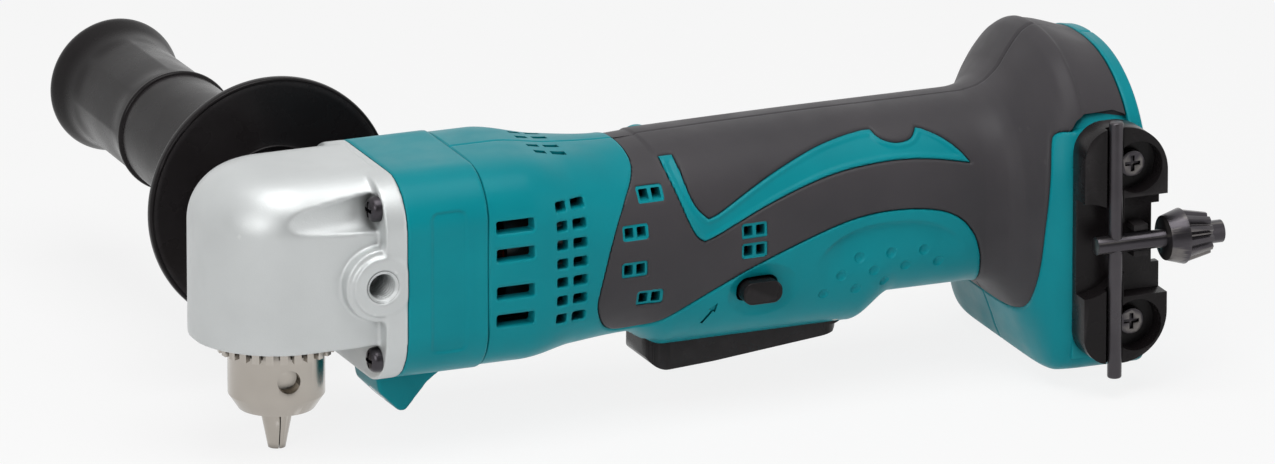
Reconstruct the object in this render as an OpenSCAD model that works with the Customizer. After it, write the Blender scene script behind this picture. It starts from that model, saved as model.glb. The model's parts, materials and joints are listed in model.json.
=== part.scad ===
// Cordless right angle drill without its battery. X runs from the chuck axis to the battery tail,
// Y towards the side handle and Z up. The origin lies on the chuck axis where the closed jaws end.

/* [Chuck] */
// Radius of the chuck body below the sleeve
chuck_r = 12.7; // [12.5:0.1:13]
// Height of the chuck's nose above the tips of the closed jaws
nose_z = 11.2; // [10.8:0.1:11.6]
// Radius of the geared sleeve
sleeve_r = 15.5; // [15:0.1:16]
// Height of the sleeve's tooth tips
sleeve_z = 26.9; // [26.5:0.1:27.5]
// Number of teeth round the sleeve
sleeve_teeth = 26; // [20:1:28]
// Lean of each jaw from the chuck axis, in degrees
jaw_lean = 16; // [15.5:0.5:16.5]
// Radius of a jaw
jaw_r = 3.1; // [2.9:0.1:3.1]
// Largest shank that the jaws open to
grip_d = 10; // [9:0.5:10]

/* [Spindle and gears] */
// Radius of the spindle in its lower bearing
spindle_r = 6; // [5.8:0.1:6.2]
// Module of the spur gears
spur_module = 0.6; // [0.58:0.01:0.62]
// Module of the bevel gears at their large end
bevel_module = 0.9; // [0.88:0.01:0.92]
// Radius of the pinion shaft and of the armature shaft
shaft_r = 4; // [3.8:0.1:4.2]

/* [Gear housing] */
// Radius of the head round the spindle
head_r = 23; // [22.5:0.1:24]
// Height of the head's lower rim
head_low_z = 31.6; // [31:0.1:32]
// Height of the head's top
head_top_z = 76.5; // [76:0.1:78]
// Distance from the chuck axis to the joint with the motor bracket
flange_x = 26; // [25.5:0.1:26.5]
// Thickness of the flange at that joint
flange_t = 6; // [5:0.1:7]
// Radius of the side handle's thread
thread_r = 4.05; // [3.9:0.05:4.2]
// Distance from the middle to a side handle boss's face
boss_y = 28; // [27.8:0.1:30]

/* [Motor] */
// Height of the motor's axis
motor_z = 48; // [47.5:0.1:48.5]
// Half width of the square motor housing
motor_half_w = 27.5; // [27:0.1:28.5]
// Wall of the square motor housing above the spur gear
bracket_wall = 1.2; // [1:0.1:2]
// Length of the motor bracket
bracket_len = 22.5; // [22:0.1:24]
// Radius of the yoke tube
yoke_r = 19.6; // [19:0.1:19.8]
// Length of the yoke tube
yoke_len = 30; // [28:0.5:32]

/* [Handle] */
// Distance from the chuck axis to the end of the tail
tail_x = 231; // [229:0.5:235]
// Half width of the grip
grip_half_w = 23.5; // [23:0.1:25]
// Rise of the grip above the motor's axis
grip_rise = 26; // [25.5:0.1:27]
// Drop of the grip below the motor's axis
grip_drop = 24; // [23.5:0.1:25]
// Drop of the belly that holds the switch
belly_drop = 31; // [30.5:0.1:32]
// Half width of the tail
tail_half_w = 38; // [37:0.1:40]
// Rise of the tail above the motor's axis
tail_rise = 42; // [41:0.1:44]
// Drop of the tail below the motor's axis
tail_drop = 45; // [44:0.1:47]
// Thickness of the hard shell under the soft skin
shell_t = 2.6; // [2.4:0.1:2.8]
// Thickness of the soft skin
skin_t = 1.6; // [1.4:0.1:1.8]

/* [Switch] */
// Length of the paddle
paddle_len = 54.5; // [53:0.5:55.5]
// Half width of the paddle
paddle_half_w = 10.5; // [10:0.1:11]
// Travel of the paddle, in degrees
paddle_travel = 5; // [4:0.5:5]
// Width of the reversing lever along the handle
lever_w = 11; // [10:0.1:12]
// Height of the reversing lever
lever_h = 6; // [5.5:0.1:6.5]

/* [Side handle] */
// Radius of the handle's disc flange
disc_r = 34; // [32:0.5:36]
// Radius of the grip
side_grip_r = 15.6; // [15:0.1:17]
// Radius of the grip's flared end
side_end_r = 18; // [17.5:0.1:20]
// Length of the handle from the disc to its end
side_len = 116; // [106:1:126]

/* [Chuck key] */
// Radius of the key's cross bar
bar_r = 1.9; // [1.7:0.1:2]
// Length of the key's cross bar
bar_len = 70; // [66:1:74]
// Radius of the key's shank
key_shank_r = 2.4; // [2.3:0.1:2.5]
// Radius of the key's pilot
key_pilot_r = 3; // [2.8:0.1:3]

/* [Hidden] */
$fn = 64;

// Fits and cuts
run_fit = 0.04;
slide_gap = 0.3;
over = 1;
tooth_backlash = 0.14;
spur_press_turn = 25;
spur_add_share = 0.9;
spur_ded_share = 1.15;
bevel_press_turn = 20;

// Chuck, as revolved sizes and the jaws' own
core_step = 0.5;
core_r = chuck_r + core_step;
nose_share = 0.795;
nose_r = chuck_r*nose_share;
nose_cone_h = 3.9;
throat_r = 5.2;
throat_top_z = 31.5;
chuck_top_z = 42;
chuck_neck_r = 9;
sleeve_h = 9.6;
sleeve_tooth_h = 3.3;
sleeve_stop_out = 1.6;
sleeve_stop_r = core_r + sleeve_stop_out;
sleeve_stop_h = 2.2;
tooth_gap_w = 1.7;
key_hole_gap = 0.1;
key_hole_r = key_pilot_r + key_hole_gap;
key_hole_z = 21.2;
key_hole_depth = 4.2;
key_hole_turn = -96;
jaw_count = 3;
jaw_len = 18.4;
jaw_tip_r = 2.3;
jaw_root_r = 4.5;
jaw_inset = 0.6;
jaw_gap = 0.16;
jaw_fit = 0.05;
jaw_travel = grip_d/2/sin(jaw_lean);

// Spindle, its bearings and the gears
thread_nose_r = 4.75;
bearing_wall = 8;
bearing_h = 8;
retainer_lip_h = 2;
retainer_wall = 3.5;
head_bore_r = spindle_r + bearing_wall + retainer_wall;
retainer_gap = 0.6;
retainer_z = chuck_top_z + retainer_gap;
bearing_z = retainer_z + retainer_lip_h;
gear_seat_step = 0.5;
gear_seat_r = spindle_r - gear_seat_step;
journal_r = shaft_r;
bush_wall = 2;
bush_h = 7;
head_roof = 3.5;
bush_z = head_top_z - head_roof - bush_h;
spur_teeth = 36;
sun_teeth = 12;
bevel_teeth = 32;
bevel_pinion_teeth = 10;
pinion_z = motor_z + spur_module*(spur_teeth + sun_teeth)/2;
gear_pocket_gap = 0.8;
motor_half_h = pinion_z - motor_z + spur_module*(spur_teeth + 2)/2 + gear_pocket_gap + bracket_wall;
bevel_r = bevel_module*bevel_teeth/2;
bevel_pinion_r = bevel_module*bevel_pinion_teeth/2;
bevel_face_share = 0.3;
bevel_small = 1 - bevel_face_share;
bevel_pitch_z = pinion_z - bevel_pinion_r;
bevel_add_share = 0.62;
bevel_ded_share = 0.88;
bevel_hub_r = 9;
gear_gap = 0.5;
gear_z = bearing_z + bearing_h + gear_gap;
spur_face = 6;
spur_gap = 1.8;
spur_x = flange_x + spur_gap;
pinion_bearing_wall = 5.5;
pinion_bearing_w = 6;
pinion_lip = 2.4;
pinion_front_x = flange_x - pinion_lip - pinion_bearing_w;
pinion_rear_r = 3;
pinion_rear_wall = 3.5;
pinion_rear_w = 4;
pinion_rear_gap = 1.2;
pinion_rear_x = spur_x + spur_face + pinion_rear_gap;

// Head casting
head_round_r = 14.5;
head_cavity_z = bush_z;
side_thread_x = 19;
side_thread_z = 49;
side_thread_len = 13;
boss_r = 8;
boss_step_r = 9.8;
boss_step_h = 1.4;
flange_corner_share = 0.504;
flange_corner_r = flange_corner_share*motor_half_h;
screw_inset_y = 6;
screw_inset_z = 7.4;
screw_y = motor_half_w - screw_inset_y;
screw_dz = motor_half_h - screw_inset_z;
screw_head_r = 3.4;
screw_head_h = 3;
screw_r = 2;
screw_bite = 14;
channel_r = 5.6;
channel_inset = 4.8;
channel_y = motor_half_w - channel_inset;
channel_len = 40;
channel_turn = 9;

// Motor bracket and lamp
bracket_x = flange_x + bracket_len;
lamp_half_w = 8.5;
lamp_tip_x = 24.2;
lamp_front_x = 25.4;
lamp_roof_gap = 0.4;
lamp_roof_z = motor_z - motor_half_h - lamp_roof_gap;
lamp_front_drop = 6;
lamp_low_drop = 11.7;
lamp_heel_drop = 11.8;
lamp_front_z = lamp_roof_z - lamp_front_drop;
lamp_low_x = 31;
lamp_low_z = lamp_roof_z - lamp_low_drop;
lamp_heel_x = 32.8;
lamp_heel_z = lamp_roof_z - lamp_heel_drop;
lamp_rear_x = 45.3;
lamp_run_x = 38.9;
lamp_run_drop = 4.7;
lens_r = 3;
lens_t = 2;
lamp_board_t = 1.6;
lamp_chip_r = 1.6;
lamp_chip_h = 1;

// Motor inside
front_bearing_w = 6;
front_bearing_wall = 5.5;
front_bearing_inset = 8;
front_bearing_x = bracket_x - front_bearing_inset;
fan_gap = 0.8;
fan_x = bracket_x + fan_gap;
fan_r = 17.5;
fan_w = 6;
fan_blade_count = 11;
fan_blade_t = 1;
fan_disc_t = 1.2;
fan_hub_r = 6;
yoke_gap = 1.6;
yoke_x = fan_x + fan_w + yoke_gap;
yoke_t = 2.2;
magnet_t = 3.2;
magnet_span = 130;
air_gap = 0.5;
core_inset = 2.5;
core_slots = 12;
core_slot_r = 1.7;
winding_r_share = 0.72;
winding_h = 3;
commutator_r = 7.4;
commutator_len = 7;
commutator_bars = 12;
commutator_slot_w = 0.5;
commutator_gap = 1.4;
commutator_x = yoke_x + yoke_len + commutator_gap;
rear_journal_r = 3;
rear_bearing_wall = 4.5;
rear_bearing_w = 4.5;
rear_gap = 2.2;
rear_bearing_x = commutator_x + commutator_len + rear_gap;
bracket_ring_r = yoke_r;
bracket_plate_t = 2;
brush_w = 5;
brush_t = 4.4;
brush_len = 9;
brush_box_t = 1.2;

// Handle sections: place along X, half width, rise, drop, upper power, lower power
square_power = 4;
round_power = 2.2;
belly_power = 2.6;
tail_power = 8;
dome_power = 2.3;
neck_power = 2.8;
waist_gap = 6.1;
waist_x = yoke_x + yoke_len + waist_gap;
waist_half_w = 25.5;
waist_rise = 24.8;
waist_drop = 26;
shoulder_x = 60;
belly_x = 104;
belly_end_x = 156.5;
belly_half_w = 25;
heel_len = 11;
flare_x = 190;
tail_face_x = 213.5;
tail_end_rise = 37.8;
// Flare between the grip and the tail: place along it, and how far its width, rise and drop have opened there
flare_shares = [[0.09, 0.02, 0, 0.01], [0.26, 0.1, 0.03, 0.07], [0.4, 0.28, 0.11, 0.25],
    [0.51, 0.52, 0.24, 0.55], [0.58, 0.68, 0.35, 0.78], [0.66, 0.82, 0.53, 0.95],
    [0.77, 0.93, 0.76, 1], [0.88, 0.98, 0.93, 1]];
function mix(a, b, t) = a + (b - a)*t;
function ease(t) = t*t*(3 - 2*t);
grip_section = [grip_half_w, grip_rise, grip_drop, round_power, belly_power];
tail_section = [tail_half_w, tail_rise, tail_drop, dome_power, tail_power];
stations = concat([
    [bracket_x, motor_half_w, motor_half_h, motor_half_h, square_power, square_power],
    [shoulder_x, motor_half_w, motor_half_h, motor_half_h, square_power, square_power],
    [mix(shoulder_x, waist_x, 0.5), mix(motor_half_w, waist_half_w, 0.6), mix(motor_half_h, waist_rise,
        0.7),
        mix(motor_half_h, waist_drop, 0.5), neck_power, neck_power],
    [waist_x, waist_half_w, waist_rise, waist_drop, round_power, belly_power],
    [belly_x, belly_half_w, mix(waist_rise, grip_rise, 0.4), belly_drop, round_power, belly_power],
    [belly_end_x, grip_half_w, grip_rise, belly_drop, round_power, belly_power],
    concat([belly_end_x + heel_len], grip_section),
    concat([flare_x], grip_section)],
    [for (s = flare_shares) [mix(flare_x, tail_face_x, s[0]), mix(grip_half_w, tail_half_w, s[1]),
        mix(grip_rise, tail_rise, s[2]), mix(grip_drop, tail_drop, s[3]), mix(round_power, dome_power, s[2]),
        mix(belly_power, tail_power, s[3])]],
    [concat([tail_face_x], tail_section),
        [tail_x, tail_half_w, tail_end_rise, tail_drop, dome_power, tail_power]]);
step_count = 2;
ring_count = 28;
cavity_count = 16;

// Battery bay in the tail
bay_floor_x = 216;
bay_wall = 4;
bay_side_t = 8;
bay_half_w = tail_half_w - bay_side_t;
rail_w = 4;
rail_t = 3.5;
rail_inset = 3;
rail_low_z = 12;
rail_len = 56;

// Soft skin, teal inlay, vents and bosses, as shares of the handle's length and of the grip's rise
handle_span = tail_x - bracket_x;
skin_shares = [[0.238, 1.989], [0.2518, 0.8768], [0.241, 0.7378], [0.2208, 0.5667], [0.1967, 0.2598],
    [0.178, -0.2288], [0.1715, -0.4769], [0.1803, -0.6565], [0.1947, -0.787], [0.2164, -0.8629],
    [0.263, -0.8329], [0.3098, -0.6373], [0.3698, -0.4277], [0.4298, -0.2481], [0.5124, -0.0385],
    [0.5759, 0.092], [0.6383, 0.1262], [0.7023, 0.0759], [0.7387, -0.0385], [0.7603, -0.2288],
    [0.7726, -0.4598], [0.7781, -0.7615], [0.789, -1.069], [0.8137, -1.231], [0.8444, -1.3],
    [0.8488, -1.254], [0.8444, -1.077], [0.8422, -0.6923], [0.8433, -0.2308], [0.8466, 0.3077],
    [0.8521, 0.6923], [0.8597, 0.8385], [0.9781, 0.8596], [0.9781, 1.988]];
inlay_shares = [[0.302, 0.8404, 0.0684], [0.3206, 0.4769, 0.0727], [0.3442, 0.1604, 0.1026],
    [0.3954, 0.3015, 0.0727], [0.4357, 0.432, 0.1026], [0.4819, 0.556, 0.1337], [0.5587, 0.695, 0.1454],
    [0.6108, 0.7335, 0.1529], [0.6875, 0.695, 0.1529], [0.721, 0.6565, 0.1112],
    [0.7593, 0.5079, 0.0225]];
inlay_notch_shares = [0.6551, 0.9195, 0.1604];
slot_shares = [[0.0416, 0.4972], [0.0416, 0.2032], [0.0416, -0.1925], [0.0416, -0.4972]];
slot_w = 10.4;
slot_h = 3.2;
vent_shares = [[0.1141, 0.0365], [0.1436, 0.0365]];
vent_front_w = 3;
vent_rear_w = 4;
vent_ws = [vent_front_w, vent_rear_w];
vent_h = 2.6;
vent_pitch = 5.1;
vent_row_count = 7;
window_shares = [[0.2626, 0.5881], [0.2311, 0.2459], [0.2292, -0.139], [0.2547, -0.4705],
    [0.417, 0.1037], [0.417, -0.1069]];
window_w = 7.4;
window_h = 4.2;
window_bar_w = 1;
window_rim = 0.7;
corner_r = 0.7;
top_vent_y = 4;
top_vent_pitch = 4.4;
top_vent_h = 1.8;
screw_boss_shares = [[0.3039, -0.6522], [0.3256, 0.6415], [0.5724, 0.4918], [0.715, 0.5346],
    [0.7229, -0.5346]];
screw_boss_r = 5;
hole_side_count = 16;
rib_t = 2;
yoke_rib_shares = [0.17, 0.77];
switch_rib_shares = [0.13, 0.79];
shell_screw_r = 1.75;
shell_screw_len = 20;
shell_head_r = 3.4;
shell_head_h = 2.4;
shell_head_y = 12;
holder_flat_y = 37.4;

// Switch group
paddle_x = 100.5;
paddle_front_low_z = 10.2;
paddle_rear_low_z = 15.2;
paddle_top_z = 20;
paddle_round_r = 4;
paddle_gap = 1.4;
paddle_corner_r = 6;
paddle_pin_r = 2;
paddle_pin_inset = 3;
paddle_pin_z = 21.5;
paddle_hub_r = 3.8;
paddle_pin_half = 13;
switch_x = 107;
switch_len = 38;
switch_z = 39;
switch_h = 17;
switch_half_w = 12;
plunger_r = 3.2;
plunger_x = 113;
plunger_rise = 4;
plunger_fit = 0.1;
lever_x = 126;
lever_z = 34;
lever_reach = 26.4;
lever_gap = 0.5;
lever_travel = 2.4;
lever_fork_w = 5;
lever_fork_h = 3.2;

// Terminals and leads
block_half_w = 15;
block_len = 6;
block_h = 12;
block_z = 62;
blade_w = 1;
blade_len = 7;
blade_h = 9;
blade_y = 8;
lead_r = 1.1;
lead_side_count = 8;
// Routes of the near lead of each pair
power_shares = [[0.8576, -0.2553, 0.6923], [0.8082, -0.2979, 0.4615], [0.7644, -0.3404, 0.1923],
    [0.6767, -0.3404, 0.0385], [0.5726, -0.3404, -0.0385]];
motor_shares = [[0.3096, -0.383, -0.0385], [0.2986, -0.5106, 0.0385], [0.2822, -0.5532, 0.2692]];
function route_point(p) = [bracket_x + p[0]*handle_span, p[1]*grip_half_w, motor_z + p[2]*grip_rise];
function route_end(p, x) = [x, route_point(p)[1], route_point(p)[2]];
power_route = concat([route_end(power_shares[0], bay_floor_x)], [for (p = power_shares) route_point(p)],
    [route_end(power_shares[4], switch_x + switch_len)]);
motor_route = concat([route_end(motor_shares[0], switch_x)], [for (p = motor_shares) route_point(p)],
    [route_end(motor_shares[2], rear_bearing_x)]);

// Side handle
disc_y = 52;
disc_t = 2.6;
disc_rim_t = 4;
hub_r = 11;
hub_gap = 0.3;
stud_len = 35;
stud_hex_r = 5.2;
stud_gap = 0.05;
stud_r = thread_r - stud_gap;
ring_share = 0.588;
ring_h = 1.2;
ring_w = 2;
end_rim_w = 7;
end_dome_h = 5;
neck_dip = 1.2;
flute_count = 8;
flute_r = 3;
flute_depth = 0.9;

// Key and its holder
key_y = 45.6;
bar_x = 217.6;
key_z = 42;
bar_drop = 1.6;
holder_mid_z = 40.6;
key_x = 212;
key_shank_len = 19.4;
key_collar_len = 4.9;
key_collar_r = 7.4;
key_collar_share = 0.8;
key_gear_r = 7.1;
key_gear_len = 7.2;
key_gear_teeth = 12;
key_gear_taper = 0.78;
key_tooth_share = 0.2;
key_pilot_len = 4.3;
holder_x = 209;
holder_w = 23.6;
holder_low_z = 9;
holder_h = 64.5;
holder_base_t = 2.4;
holder_t = 8;
holder_strip_w = 6.6;
holder_groove_w = 4.6;
holder_round_r = 8;
holder_end_r = 13;
holder_thumb_r = 13;
holder_pocket_r = 7;
holder_pocket_x = 224;
holder_pocket_dz = 21.6;
holder_gap_h = 27;
clip_x = 223;
clip_w = 4;
clip_t = 1.6;
holder_screw_r = 1.9;
holder_screw_head_r = 3.5;
holder_screw_head_h = 2.2;
holder_screw_bite = 6.5;

teal = [0.08, 0.46, 0.5];
charcoal = [0.24, 0.23, 0.24];
black = [0.1, 0.1, 0.105];
cast = [0.74, 0.76, 0.76];
steel = [0.62, 0.6, 0.58];
dark_steel = [0.2, 0.2, 0.21];
copper = [0.72, 0.43, 0.25];

// Shapes that several pieces share
module along_x(x) translate([x, 0, 0]) rotate([90, 0, 90]) children();
module motor_axis(x) translate([x, 0, motor_z]) rotate([0, 90, 0]) children();
module pinion_axis(x) translate([x, 0, pinion_z]) rotate([0, 90, 0]) children();
module side_axis() translate([side_thread_x, 0, side_thread_z]) rotate([-90, 0, 0]) children();
module to_near(y) translate([0, -y, 0]) rotate([90, 0, 0]) children();
module rounded(w, h, r) {
    square([w - 2*r, h], center = true);
    square([w, h - 2*r], center = true);
    for (x = [-1, 1], y = [-1, 1]) translate([x*(w/2 - r), y*(h/2 - r)]) circle(r);
}
module pill(w, h, r) hull() for (x = [-1, 1], y = [-1, 1])
    translate([x*(w/2 - r), y*(h/2 - r)]) circle(r, $fn = 4);
module tube(r_out, r_in, h) difference() {
    cylinder(h = h, r = r_out);
    translate([0, 0, -over]) cylinder(h = h + 2*over, r = r_in);
}
module bearing(r_out, r_in, h) {
    lip = (r_out - r_in)/4;
    rotate_extrude() difference() {
        translate([r_in, 0]) square([r_out - r_in, h]);
        for (z = [-lip/2, h - lip/2]) translate([r_in + lip, z]) square([2*lip, lip]);
    }
}

// Involute gear outline, with its teeth narrowed by the backlash
function roll(r, base) = r <= base ? 0 : sqrt(pow(r/base, 2) - 1)*180/PI - acos(base/r);
module gear_outline(teeth, size, add, ded, press, steps) {
    pitch = size*teeth/2;
    base = pitch*cos(press);
    low = pitch - ded*size;
    high = pitch + add*size;
    half = 90/teeth - tooth_backlash/2/pitch*180/PI;
    radii = [for (i = [0:steps]) mix(low, high, i/steps)];
    function flank(r) = half + roll(pitch, base) - roll(r, base);
    polygon([for (t = [0:teeth - 1])
        each concat([for (r = radii) r*[cos(t*360/teeth - flank(r)), sin(t*360/teeth - flank(r))]],
            [for (i = [0:steps]) let (r = radii[steps - i])
                r*[cos(t*360/teeth + flank(r)), sin(t*360/teeth + flank(r))]])]);
}

// Head
module head_profile() {
    translate([0, head_low_z]) square([head_r, head_top_z - head_round_r - head_low_z]);
    translate([0, head_low_z]) square([head_r - head_round_r, head_top_z - head_low_z]);
    translate([head_r - head_round_r, head_top_z - head_round_r]) circle(head_round_r);
}
module ring_section() translate([0, motor_z]) rounded(2*motor_half_w, 2*motor_half_h, flange_corner_r);
module at_screws() for (y = [-1, 1], z = [-1, 1]) translate([0, y*screw_y, motor_z + z*screw_dz])
    rotate([0, 90, 0]) children();
// Groove that frees an upper screw and runs out along the head
module screw_channel() translate([flange_x - flange_t + 2*over, -channel_y, motor_z + screw_dz])
    rotate([0, 0, channel_turn]) rotate([0, -90, 0]) cylinder(h = channel_len, r = channel_r);
module gear_housing() color(cast) difference() {
    intersection() {
        union() {
            difference() {
                union() {
                    rotate([0, 0, 90]) rotate_extrude(angle = 180) intersection() {
                        head_profile();
                        translate([0, head_low_z]) square([head_r, head_top_z]);
                    }
                    along_x(0) linear_extrude(flange_x - flange_t/2) for (s = [0, 1]) mirror([s, 0])
                        head_profile();
                }
                for (s = [0, 1]) mirror([0, s, 0]) screw_channel();
            }
            along_x(flange_x - flange_t) linear_extrude(flange_t) ring_section();
            side_axis() cylinder(h = 2*boss_y, r = boss_r, center = true);
            side_axis() cylinder(h = 2*(boss_y - boss_step_h), r = boss_step_r, center = true);
        }
        translate([flange_x - 4*head_r, -2*boss_y, 0]) cube([4*head_r, 4*boss_y, 2*head_top_z]);
    }
    translate([0, 0, head_low_z - over]) cylinder(h = head_cavity_z - head_low_z + over, r = head_bore_r);
    translate([0, 0, head_cavity_z - over]) cylinder(h = bush_h + over,
        r = journal_r + run_fit + bush_wall);
    pinion_axis(0) cylinder(h = flange_x, r = bevel_pinion_r + 2*bevel_module);
    pinion_axis(pinion_front_x) cylinder(h = flange_x, r = shaft_r + run_fit + pinion_bearing_wall);
    for (s = [0, 1]) side_axis() mirror([0, 0, s]) translate([0, 0, boss_y - side_thread_len])
        cylinder(h = side_thread_len + over, r = thread_r);
    at_screws() translate([0, 0, flange_x - flange_t - over]) cylinder(h = flange_t + 2*over,
        r = screw_r + run_fit);
}
module housing_screws() color(dark_steel) at_screws() translate([0, 0, flange_x - flange_t]) {
    translate([0, 0, -screw_head_h]) difference() {
        cylinder(h = screw_head_h, r = screw_head_r);
        for (a = [0, 90]) rotate([0, 0, a]) cube([screw_head_r*1.2, screw_r/2, screw_head_h],
            center = true);
    }
    cylinder(h = flange_t + screw_bite, r = screw_r);
}
module bearing_retainer() color(dark_steel) translate([0, 0, retainer_z]) {
    difference() {
        tube(head_bore_r, spindle_r + bearing_wall - retainer_wall, retainer_lip_h + bearing_h);
        translate([0, 0, retainer_lip_h]) cylinder(h = bearing_h + over, r = spindle_r + bearing_wall);
    }
}
module spindle_lower_bearing() color(steel) translate([0, 0, bearing_z])
    bearing(spindle_r + bearing_wall, spindle_r + run_fit, bearing_h);
module spindle_upper_bush() color(copper) translate([0, 0, bush_z])
    tube(journal_r + run_fit + bush_wall, journal_r + run_fit, bush_h);
module spindle() color(steel) rotate_extrude() polygon([[0, throat_top_z], [thread_nose_r, throat_top_z],
    [thread_nose_r, chuck_top_z], [spindle_r, chuck_top_z], [spindle_r, gear_z], [gear_seat_r, gear_z],
    [gear_seat_r, bevel_pitch_z], [journal_r, bevel_pitch_z], [journal_r, bush_z + bush_h - over/2],
    [0, bush_z + bush_h - over/2]]);

// One tooth of the large bevel gear: a wedge that narrows towards the point where the axes cross
module bevel_tooth() {
    half = PI*bevel_module/4 - tooth_backlash;
    slope = tan(20);
    tip = bevel_add_share*bevel_module;
    root = -bevel_ded_share*bevel_module - bevel_module/2;
    outline = [[-half + root*slope, root], [half - root*slope, root], [half - tip*slope, tip],
        [-half + tip*slope, tip]];
    points = [for (k = [1, bevel_small], p = outline) [k*bevel_r, k*p[0], k*(p[1] - bevel_pinion_r)]];
    translate([0, 0, pinion_z]) polyhedron(points, [[3, 2, 1, 0], [4, 5, 6, 7],
        [0, 1, 5, 4], [1, 2, 6, 5], [2, 3, 7, 6], [3, 0, 4, 7]]);
}
module bevel_gear() color(dark_steel) {
    root = bevel_pinion_r + bevel_ded_share*bevel_module;
    difference() {
        union() {
            rotate_extrude() polygon([[0, gear_z], [bevel_hub_r, gear_z], [bevel_r, mix(gear_z,
                bevel_pitch_z, 0.5)],
                [bevel_r, pinion_z - root], [bevel_small*bevel_r, pinion_z - bevel_small*root], [0,
                    pinion_z - bevel_small*root]]);
            for (t = [0:bevel_teeth - 1]) rotate([0, 0, (t + 0.5)*360/bevel_teeth]) bevel_tooth();
        }
        cylinder(h = bevel_pitch_z, r = gear_seat_r);
        translate([0, 0, bevel_pitch_z - over]) cylinder(h = pinion_z, r = gear_seat_r);
    }
}
module bevel_pinion_shaft() color(dark_steel) {
    pinion_axis(bevel_r) mirror([0, 0, 1])
        linear_extrude(bevel_face_share*bevel_r, scale = bevel_small)
            gear_outline(bevel_pinion_teeth, bevel_module, bevel_add_share, bevel_ded_share,
                bevel_press_turn, 2);
    pinion_axis(0) rotate_extrude() polygon([[0, bevel_r], [shaft_r, bevel_r], [shaft_r,
        spur_x + spur_face],
        [pinion_rear_r, spur_x + spur_face], [pinion_rear_r, pinion_rear_x + pinion_rear_w - slide_gap],
        [0, pinion_rear_x + pinion_rear_w - slide_gap]]);
}
module spur_gear() color(dark_steel) pinion_axis(spur_x) difference() {
    linear_extrude(spur_face) rotate(180/spur_teeth) gear_outline(spur_teeth, spur_module,
        spur_add_share, spur_ded_share, spur_press_turn, 3);
    translate([0, 0, -over]) cylinder(h = spur_face + 2*over, r = shaft_r);
}
module pinion_front_bearing() color(steel) pinion_axis(pinion_front_x)
    bearing(shaft_r + run_fit + pinion_bearing_wall, shaft_r + run_fit, pinion_bearing_w);
module pinion_rear_bearing() color(steel) pinion_axis(pinion_rear_x)
    bearing(pinion_rear_r + run_fit + pinion_rear_wall, pinion_rear_r + run_fit, pinion_rear_w);

// Chuck
module at_jaw(i) rotate([0, 0, key_hole_turn + 180/jaw_count + i*360/jaw_count]) children();
module jaw_line(r, low, high) translate([-jaw_inset, 0, 0]) rotate([0, jaw_lean, 0])
    translate([0, 0, low]) cylinder(h = high - low, r = r);
module chuck_body() color(steel) difference() {
    rotate_extrude() polygon([[0, nose_z], [nose_r, nose_z], [chuck_r, nose_z + nose_cone_h],
        [chuck_r, sleeve_z + sleeve_tooth_h], [core_r, sleeve_z + sleeve_tooth_h], [core_r,
            sleeve_z + sleeve_h + slide_gap],
        [sleeve_stop_r, sleeve_z + sleeve_h + slide_gap], [sleeve_stop_r,
            sleeve_z + sleeve_h + sleeve_stop_h],
        [chuck_neck_r, sleeve_z + sleeve_h + sleeve_stop_h], [chuck_neck_r, chuck_top_z], [0,
            chuck_top_z]]);
    cylinder(h = throat_top_z, r = throat_r);
    cylinder(h = chuck_top_z + over, r = thread_nose_r);
    for (i = [0:jaw_count - 1]) {
        at_jaw(i) jaw_line(jaw_r + jaw_fit, -over, (jaw_len + jaw_travel*cos(jaw_lean))/cos(jaw_lean)
            + over);
        rotate([0, 0, key_hole_turn + i*360/jaw_count]) translate([chuck_r - key_hole_depth, 0, key_hole_z])
            rotate([0, 90, 0]) cylinder(h = chuck_r, r = key_hole_r);
    }
}
module chuck_sleeve() color(steel) difference() {
    translate([0, 0, sleeve_z]) tube(sleeve_r, core_r + jaw_fit, sleeve_h);
    for (t = [0:sleeve_teeth - 1]) rotate([0, 0, t*360/sleeve_teeth]) translate([0, 0, sleeve_z]) {
        translate([chuck_r, -tooth_gap_w/2, -over])
            cube([sleeve_r - chuck_r + over, tooth_gap_w, sleeve_tooth_h - tooth_gap_w/2 + over]);
        translate([chuck_r, 0, sleeve_tooth_h - tooth_gap_w/2]) rotate([0, 90, 0])
            cylinder(h = sleeve_r - chuck_r + over, d = tooth_gap_w);
    }
}
module chuck_jaw(i) color(steel) at_jaw(i) intersection() {
    jaw_line(jaw_r, -jaw_len, 2*jaw_len);
    translate([jaw_gap, 0, -over]) linear_extrude(jaw_len + 2*over) polygon([[0, 0], sleeve_r*[cos(60),
        -sin(60)],
        [2*sleeve_r, 0], sleeve_r*[cos(60), sin(60)]]);
    rotate([0, 0, 180]) rotate_extrude() polygon([[0, 0], [jaw_tip_r, 0], [jaw_root_r, nose_z],
        [chuck_r, nose_z + over], [chuck_r, jaw_len], [0, jaw_len]]);
}
module chuck_jaw_1() chuck_jaw(0);
module chuck_jaw_2() chuck_jaw(1);
module chuck_jaw_3() chuck_jaw(2);

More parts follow.
